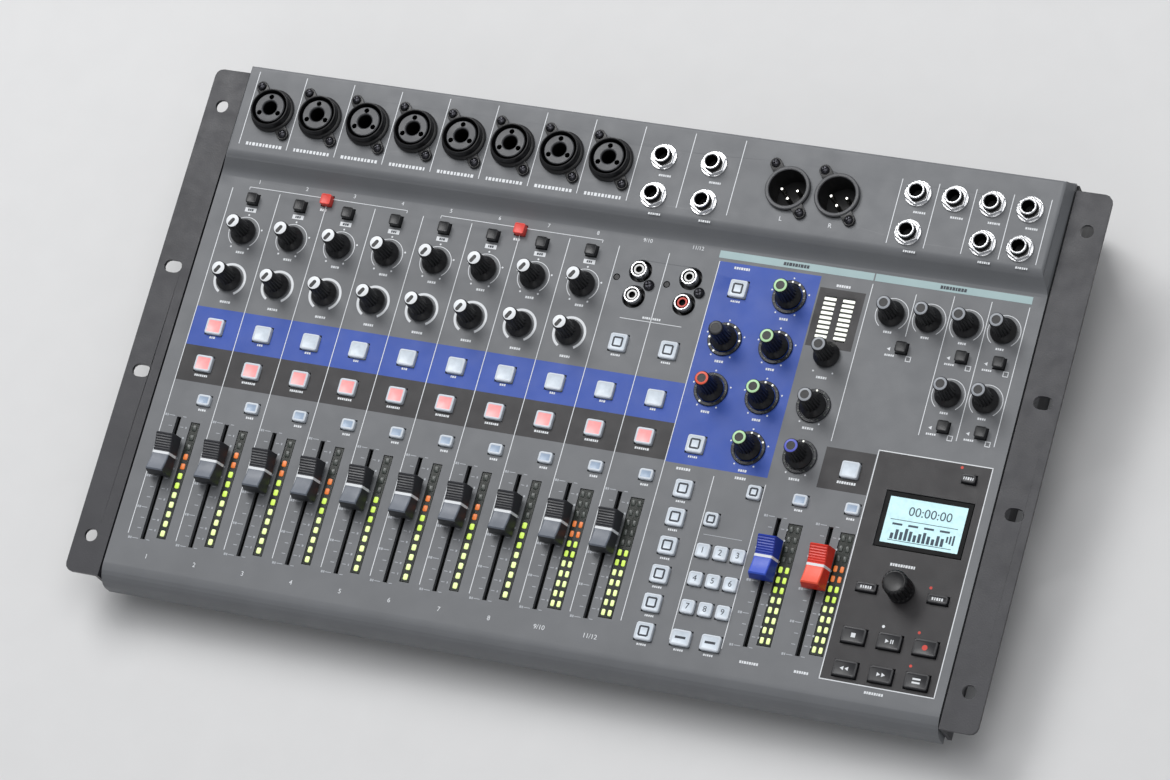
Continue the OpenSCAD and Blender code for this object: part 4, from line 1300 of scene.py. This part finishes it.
def line_set():
    """Line outputs with their pins, and the phono pairs."""
    shell = turned([
        (10.6, -26), (10.6, 0), (11.3, 0), (11.5, 0.2), (11.5, 1.7), (11.0, 2.2), (9.9, 2.2), (9.5, 1.8),
        (9.5, -14),
    ], 48)
    coat(shell, socket_black, socket_face)
    paint_where(shell, 1, lambda middle, normal: normal.z > 0.3 and middle.z > 1.5)
    pin = turned([(1.2, -15), (1.2, -3), (0.6, -2)], 16)
    coat(pin, brass_pin)
    flap = tab()
    barrel = turned([(4.15, -6.5), (4.15, 2.9), (3.95, 3.2), (3.4, 3.2), (3.25, 3), (3.2, 0.5)])
    coat(barrel, chrome, hole_shade_and_screen_border)
    # The barrel's bore is painted near-black: painted shade
    paint_where(barrel, 1, lambda middle, normal: middle.xy.length < 3.26)
    ring = turned([(2.7, 0), (2.7, 2.5), (2.5, 2.7), (1.9, 2.7), (1.7, 2.5), (1.6, 0.4)], 24)
    coat(ring, white_insulator, hole_shade_and_screen_border)
    # The insulator's pin hole is painted near-black: painted shade
    paint_where(ring, 1, lambda middle, normal: middle.xy.length < 1.75)
    seat = slab(26, 25.6, -11.9, -5.5, 1)
    coat(seat, socket_black)
    peg = turned([(1.6, -5.5), (1.6, -0.5), (1.3, -0.2)], 16)
    coat(peg, socket_black)
    parts = []
    for socket in lines:
        if socket.y > 90:
            for angle in (5, 175, 270):
                turn = math.radians(angle)
                place = on_panel(socket.x + 4.1 * math.cos(turn), socket.y + 4.1 * math.sin(turn), DECK_Z)
                parts.append((pin, place))
            parts += with_tabs(shell, flap, socket)
    rings = []
    for i in (8, 9):
        parts.append((seat, on_panel(column(i) - 1.5, 56.8)))
        parts.append((peg, on_panel(column(i) - 10.5, 58.8)))
        front_ring = white_insulator if i == 8 else red_insulator
        for y, insulator in ((63.6, white_insulator), (50, front_ring)):
            parts.append((barrel, on_panel(column(i) + 1, y)))
            rings.append((insulator, on_panel(column(i) + 1, y)))
    piece = gather("line_socket_set", parts)
    fit(piece, "console", "sockets", "line_sockets")
    for index, (insulator, place) in enumerate(rings):
        collar = gather(f"phono_insulator_{index + 1}", [(ring, place)])
        collar.data.materials[0] = insulator
        fit(collar, "console", "sockets")
    drop(shell, pin, flap, barrel, ring, seat, peg)
    return piece


def fastener_set():
    """Every screw and nut, where the CAD holds it."""
    nut = hex_nut()
    tab_screw = screw_head(2.2, 1.2, 7, dark_steel)
    pan_screw = screw_head(2.8, 1.8, 7, dark_steel)
    post_screw = screw_head(2.8, 1.8, 12.6, dark_steel)
    parts = []
    for found in screws:
        if found.w > 12 and found.h < 4:
            parts.append((nut, on_panel(found.x, found.y, found.z - found.h / 2)))
        elif found.w > 12:
            middle = PANEL @ Vector((found.x, found.y, found.z))
            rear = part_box("lower_case")[1].y
            wall = Matrix.Translation((middle.x, rear, middle.z)) @ Matrix.Scale(MM, 4)
            parts.append((nut, wall @ Matrix.Rotation(math.radians(-90), 4, "X")))
        elif found.w > 8:
            side = 1 if found.x > 0 else -1
            seat_x = found.x + side * (found.w / 2 - 1.8)
            place = on_panel(seat_x, found.y, found.z) @ Matrix.Rotation(side * math.radians(90), 4, "Y")
            parts.append((pan_screw, place))
        elif found.h > 13:
            seat_z = found.z - found.h / 2 + 1.8
            place = on_panel(found.x, found.y, seat_z) @ Matrix.Rotation(math.radians(180), 4, "X")
            parts.append((post_screw, place))
        elif found.w > 5:
            parts.append((pan_screw, on_panel(found.x, found.y, found.z + found.h / 2 - 1.8, 20)))
        else:
            parts.append((tab_screw, on_panel(found.x, found.y, found.z + found.h / 2 - 1.2, 35)))
    piece = gather("screws_and_nuts", parts)
    drop(nut, tab_screw, pan_screw, post_screw)
    return fit(piece, "console", "steel", "fasteners")


# Displays

RING_LAMPS = 11

# The lamps that are lit round each knob, counted from the left stop
LIT_ROUND = {
    "high_knob": (5, 6, 7),
    "frequency_knob": (0, 1, 2, 3, 4, 5, 6, 7, 8),
    "mid_knob": (5, 6),
    "effects_knob": (0,),
    "low_knob": (5, 6),
    "pan_knob": (5, 6, 7),
    "output_knob_2": (5,),
    "output_knob_3": (5,),
}


def light_rings(parts, add_lamp):
    """Dark collars round the strip knobs, with small lamps in them."""
    collar = hollow([
        (7, 0.05), (8.6, 0.05), (8.7, 0.2), (8.7, 0.7), (8.45, 0.95), (7.2, 0.95), (7, 0.8),
    ], 48)
    coat(collar, ring_smoke)
    lamp = turned([(0.55, 0.8), (0.55, 0.97), (0.4, 1)], 10)
    for body, lit in LIT_ROUND.items():
        x, y = spot(body)
        parts.append((collar, on_panel(x, y)))
        for k in range(RING_LAMPS):
            turn = math.radians(LOW_STOP * (2 * k / (RING_LAMPS - 1) - 1))
            place = on_panel(x + 7.8 * math.sin(turn), y + 7.8 * math.cos(turn))
            add_lamp("white" if k in lit else "off", lamp, place)
    return collar, lamp


LAMPS = 12
DASHES = 9
SCREEN_TOP = -0.3

# How many lamps are lit on each channel, from the front
LIT = (9, 10, 10, 9, 8, 9, 9, 8)


def meter_set():
    lens = slab(2.3, 3.1, -0.5, 0.1, 0.6, 0.25, 2)
    dash = slab(6.2, 1.5, 0, 0.12, 0.3, 0.05, 2)
    groups = {}
    beds = {}
    parts = []

    def lay_bed(meter):
        size = (round(meter.w, 1), round(meter.l, 1))
        if size not in beds:
            beds[size] = slab(meter.w, meter.l, -11, meter.z + meter.h / 2, 0.4)
            coat(beds[size], meter_black)
        parts.append((beds[size], on_panel(meter.x, meter.y)))

    def add_lamp(kind, lamp, place):
        groups.setdefault(kind, []).append((lamp, place))

    meters = sorted((w for w in windows if w.l > 50 and w.w < 12), key=lambda w: w.x)
    for index, meter in enumerate(meters):
        lay_bed(meter)
        double = meter.w > 5.5
        shape = Matrix.Diagonal((0.8 if double else 1, 1, 1, 1))
        lit = LIT[index] if index < len(LIT) else 7 + index % 3
        for side in ((-1.65, 1.65) if double else (0,)):
            for k in range(LAMPS):
                y = meter.y + meter.l * ((k + 0.5) / LAMPS - 0.5)
                kind = "off"
                if k < lit:
                    kind = "pale" if k < 5 else "green"
                if k in (lit - 1, lit - 2) and lit > 8:
                    kind = "amber"
                add_lamp(kind, lens, on_panel(meter.x + side, y) @ shape)
    for meter in windows:
        if meter.l < 30 and meter.w < 8:
            lay_bed(meter)
            for k in range(DASHES):
                y = meter.y + meter.l * ((k + 0.5) / DASHES - 0.5)
                add_lamp("white", dash, on_panel(meter.x, y))
    collar, lamp = light_rings(parts, add_lamp)
    screen = lcd_stack()
    piece = gather("display_beds", parts + [(screen, Matrix())])
    drop(screen)
    fit(piece, "console", "displays", "displays")
    lamps = {"off": led_off, "pale": led_pale, "green": led_green, "amber": led_amber, "white": led_white}
    for kind, group in groups.items():
        film(f"meter_lamps_{kind}", group, lamps[kind], "console", "displays")
    drop(lens, dash, collar, lamp, *beds.values())


def lcd_stack():
    """The display's tray and its lit screen."""
    tray = slab(lcd.w, lcd.l, -5.4, -2.5, 0.5)
    coat(tray, socket_black)
    screen = slab(lcd.w - 6.4, lcd.l - 6.4, -2.5, SCREEN_TOP)
    coat(screen, hole_shade_and_screen_border, lcd_glow)
    edit(screen)
    pick_top(SCREEN_TOP)
    bpy.ops.mesh.inset(thickness=2.2, depth=0)
    paint(1)
    place = on_panel(lcd.x, lcd.y)
    piece = gather("lcd_master", [(tray, place), (screen, place)])
    drop(tray, screen)
    return piece


def lcd_graphics():
    """A time counter, level bars and status strokes on the screen."""
    x = lcd.x + 2
    y = lcd.y + 5.2
    number("lcd_counter", "00:00:00", x, y, 4.6, lcd_pixel, SCREEN_TOP, "console", "displays")
    parts = []

    def pixel(x, y, w, l):
        parts.append((BAR, stroke(lcd.x + x, lcd.y + y, SCREEN_TOP, w, l)))

    for k, tall in enumerate((3, 5, 4, 6, 5, 3.5, 4.5, 5.5, 4, 3, 5, 4)):
        pixel(-14.5 + 2.3 * k, -9.4 + tall / 2, 1.5, tall)
    pixel(0, -10, 32, FINE_LINE)
    pixel(0, 0.4, 34, FINE_LINE)
    for k in range(4):
        pixel(-13 + 8 * k, -1.8, 5, 1)
    for k in range(3):
        pixel(13 + 1.6 * k, -5.5, 0.9, 3 + k)
    film("lcd_graphics", parts, lcd_pixel, "console", "displays")


# Case, ears, feet, rear and inside


def case_set():
    for node, name, edge, finish, body, slot in (
        ("lower_case", "case_shell", 0.5, case_black, "console", "case"),
        ("rack_ears", "rack_ear_pair", 0.3, ear_black, "console", "ears"),
        ("rubber_feet", "foot_set", 0.4, foot_rubber, "console", "feet"),
        ("rear_sockets", "rear_socket_set", 0.2, socket_black, "console", "sockets"),
        ("power_switch", "power_switch_cap", 0.15, switch_black, "power_switch", "black_keys"),
    ):
        piece = dressed(node, name, edge)
        coat(piece, finish)
        fit(piece, body, slot, node)
    coat(cad["circuit_boards"], board_black)


# Floor, light and camera


def stage():
    leave_edit()
    bpy.ops.mesh.primitive_plane_add(size=6, location=(0, 0, 0))
    floor = bpy.context.object
    floor.name = "studio_floor"
    coat(floor, moulded("floor_paper", (216, 216, 216), (0.8, 0.04, 0.05, 300), 0.01, 0.2))
    scene = bpy.context.scene
    scene.view_settings.view_transform = "Standard"
    world = bpy.data.worlds.new("studio") if scene.world is None else scene.world
    scene.world = world
    world.use_nodes = True
    background = world.node_tree.nodes["Background"]
    background.inputs["Color"].default_value = (0.94, 0.96, 1, 1)
    background.inputs["Strength"].default_value = 0.32
    lights = (
        ("key_light", (-1.1, 1.3, 2.1), 1.4, 46),
        ("top_light", (0.5, 0.4, 2.6), 1.8, 22),
        ("fill_light", (0.6, -2.2, 1.5), 1.6, 5),
    )
    for name, place, size, power in lights:
        light = bpy.data.lights.new(name, "AREA")
        light.size = size
        light.energy = power
        lamp = bpy.data.objects.new(name, light)
        lamp.location = place
        lamp.rotation_euler = (-Vector(place)).to_track_quat("-Z", "Y").to_euler()
        bpy.context.collection.objects.link(lamp)


# Where the camera of the photograph stands, and its direction to the right
CAMERA_PLACE = Vector((0.9902, -0.9404, 2.3428))
CAMERA_RIGHT = Vector((0.9184, 0.2846, -0.2748))
CAMERA_LENS = 168


def camera():
    low, high = cad_box
    middle = (Vector(low) + Vector(high)) / 2
    back = (CAMERA_PLACE - middle).normalized()
    up = back.cross(CAMERA_RIGHT).normalized()
    right = up.cross(back)
    data = bpy.data.cameras.new("photo_camera")
    data.lens = CAMERA_LENS
    viewer = bpy.data.objects.new("photo_camera", data)
    turn = Matrix((right, up, back)).transposed().to_4x4()
    viewer.matrix_world = Matrix.Translation(CAMERA_PLACE) @ turn
    bpy.context.collection.objects.link(viewer)
    bpy.context.scene.camera = viewer


camera()
stage()
case_set()
printed_cover()
knobs()
encoder()
faders()
keys()
switch_caps()
combo_row()
phone_row()
line_set()
fastener_set()
meter_set()
lcd_graphics()
channel_prints()
fader_prints()
rings = knob_prints()
section_prints()
lay_prints()
drop(BAR, DOT, TRIANGLE, *rings)
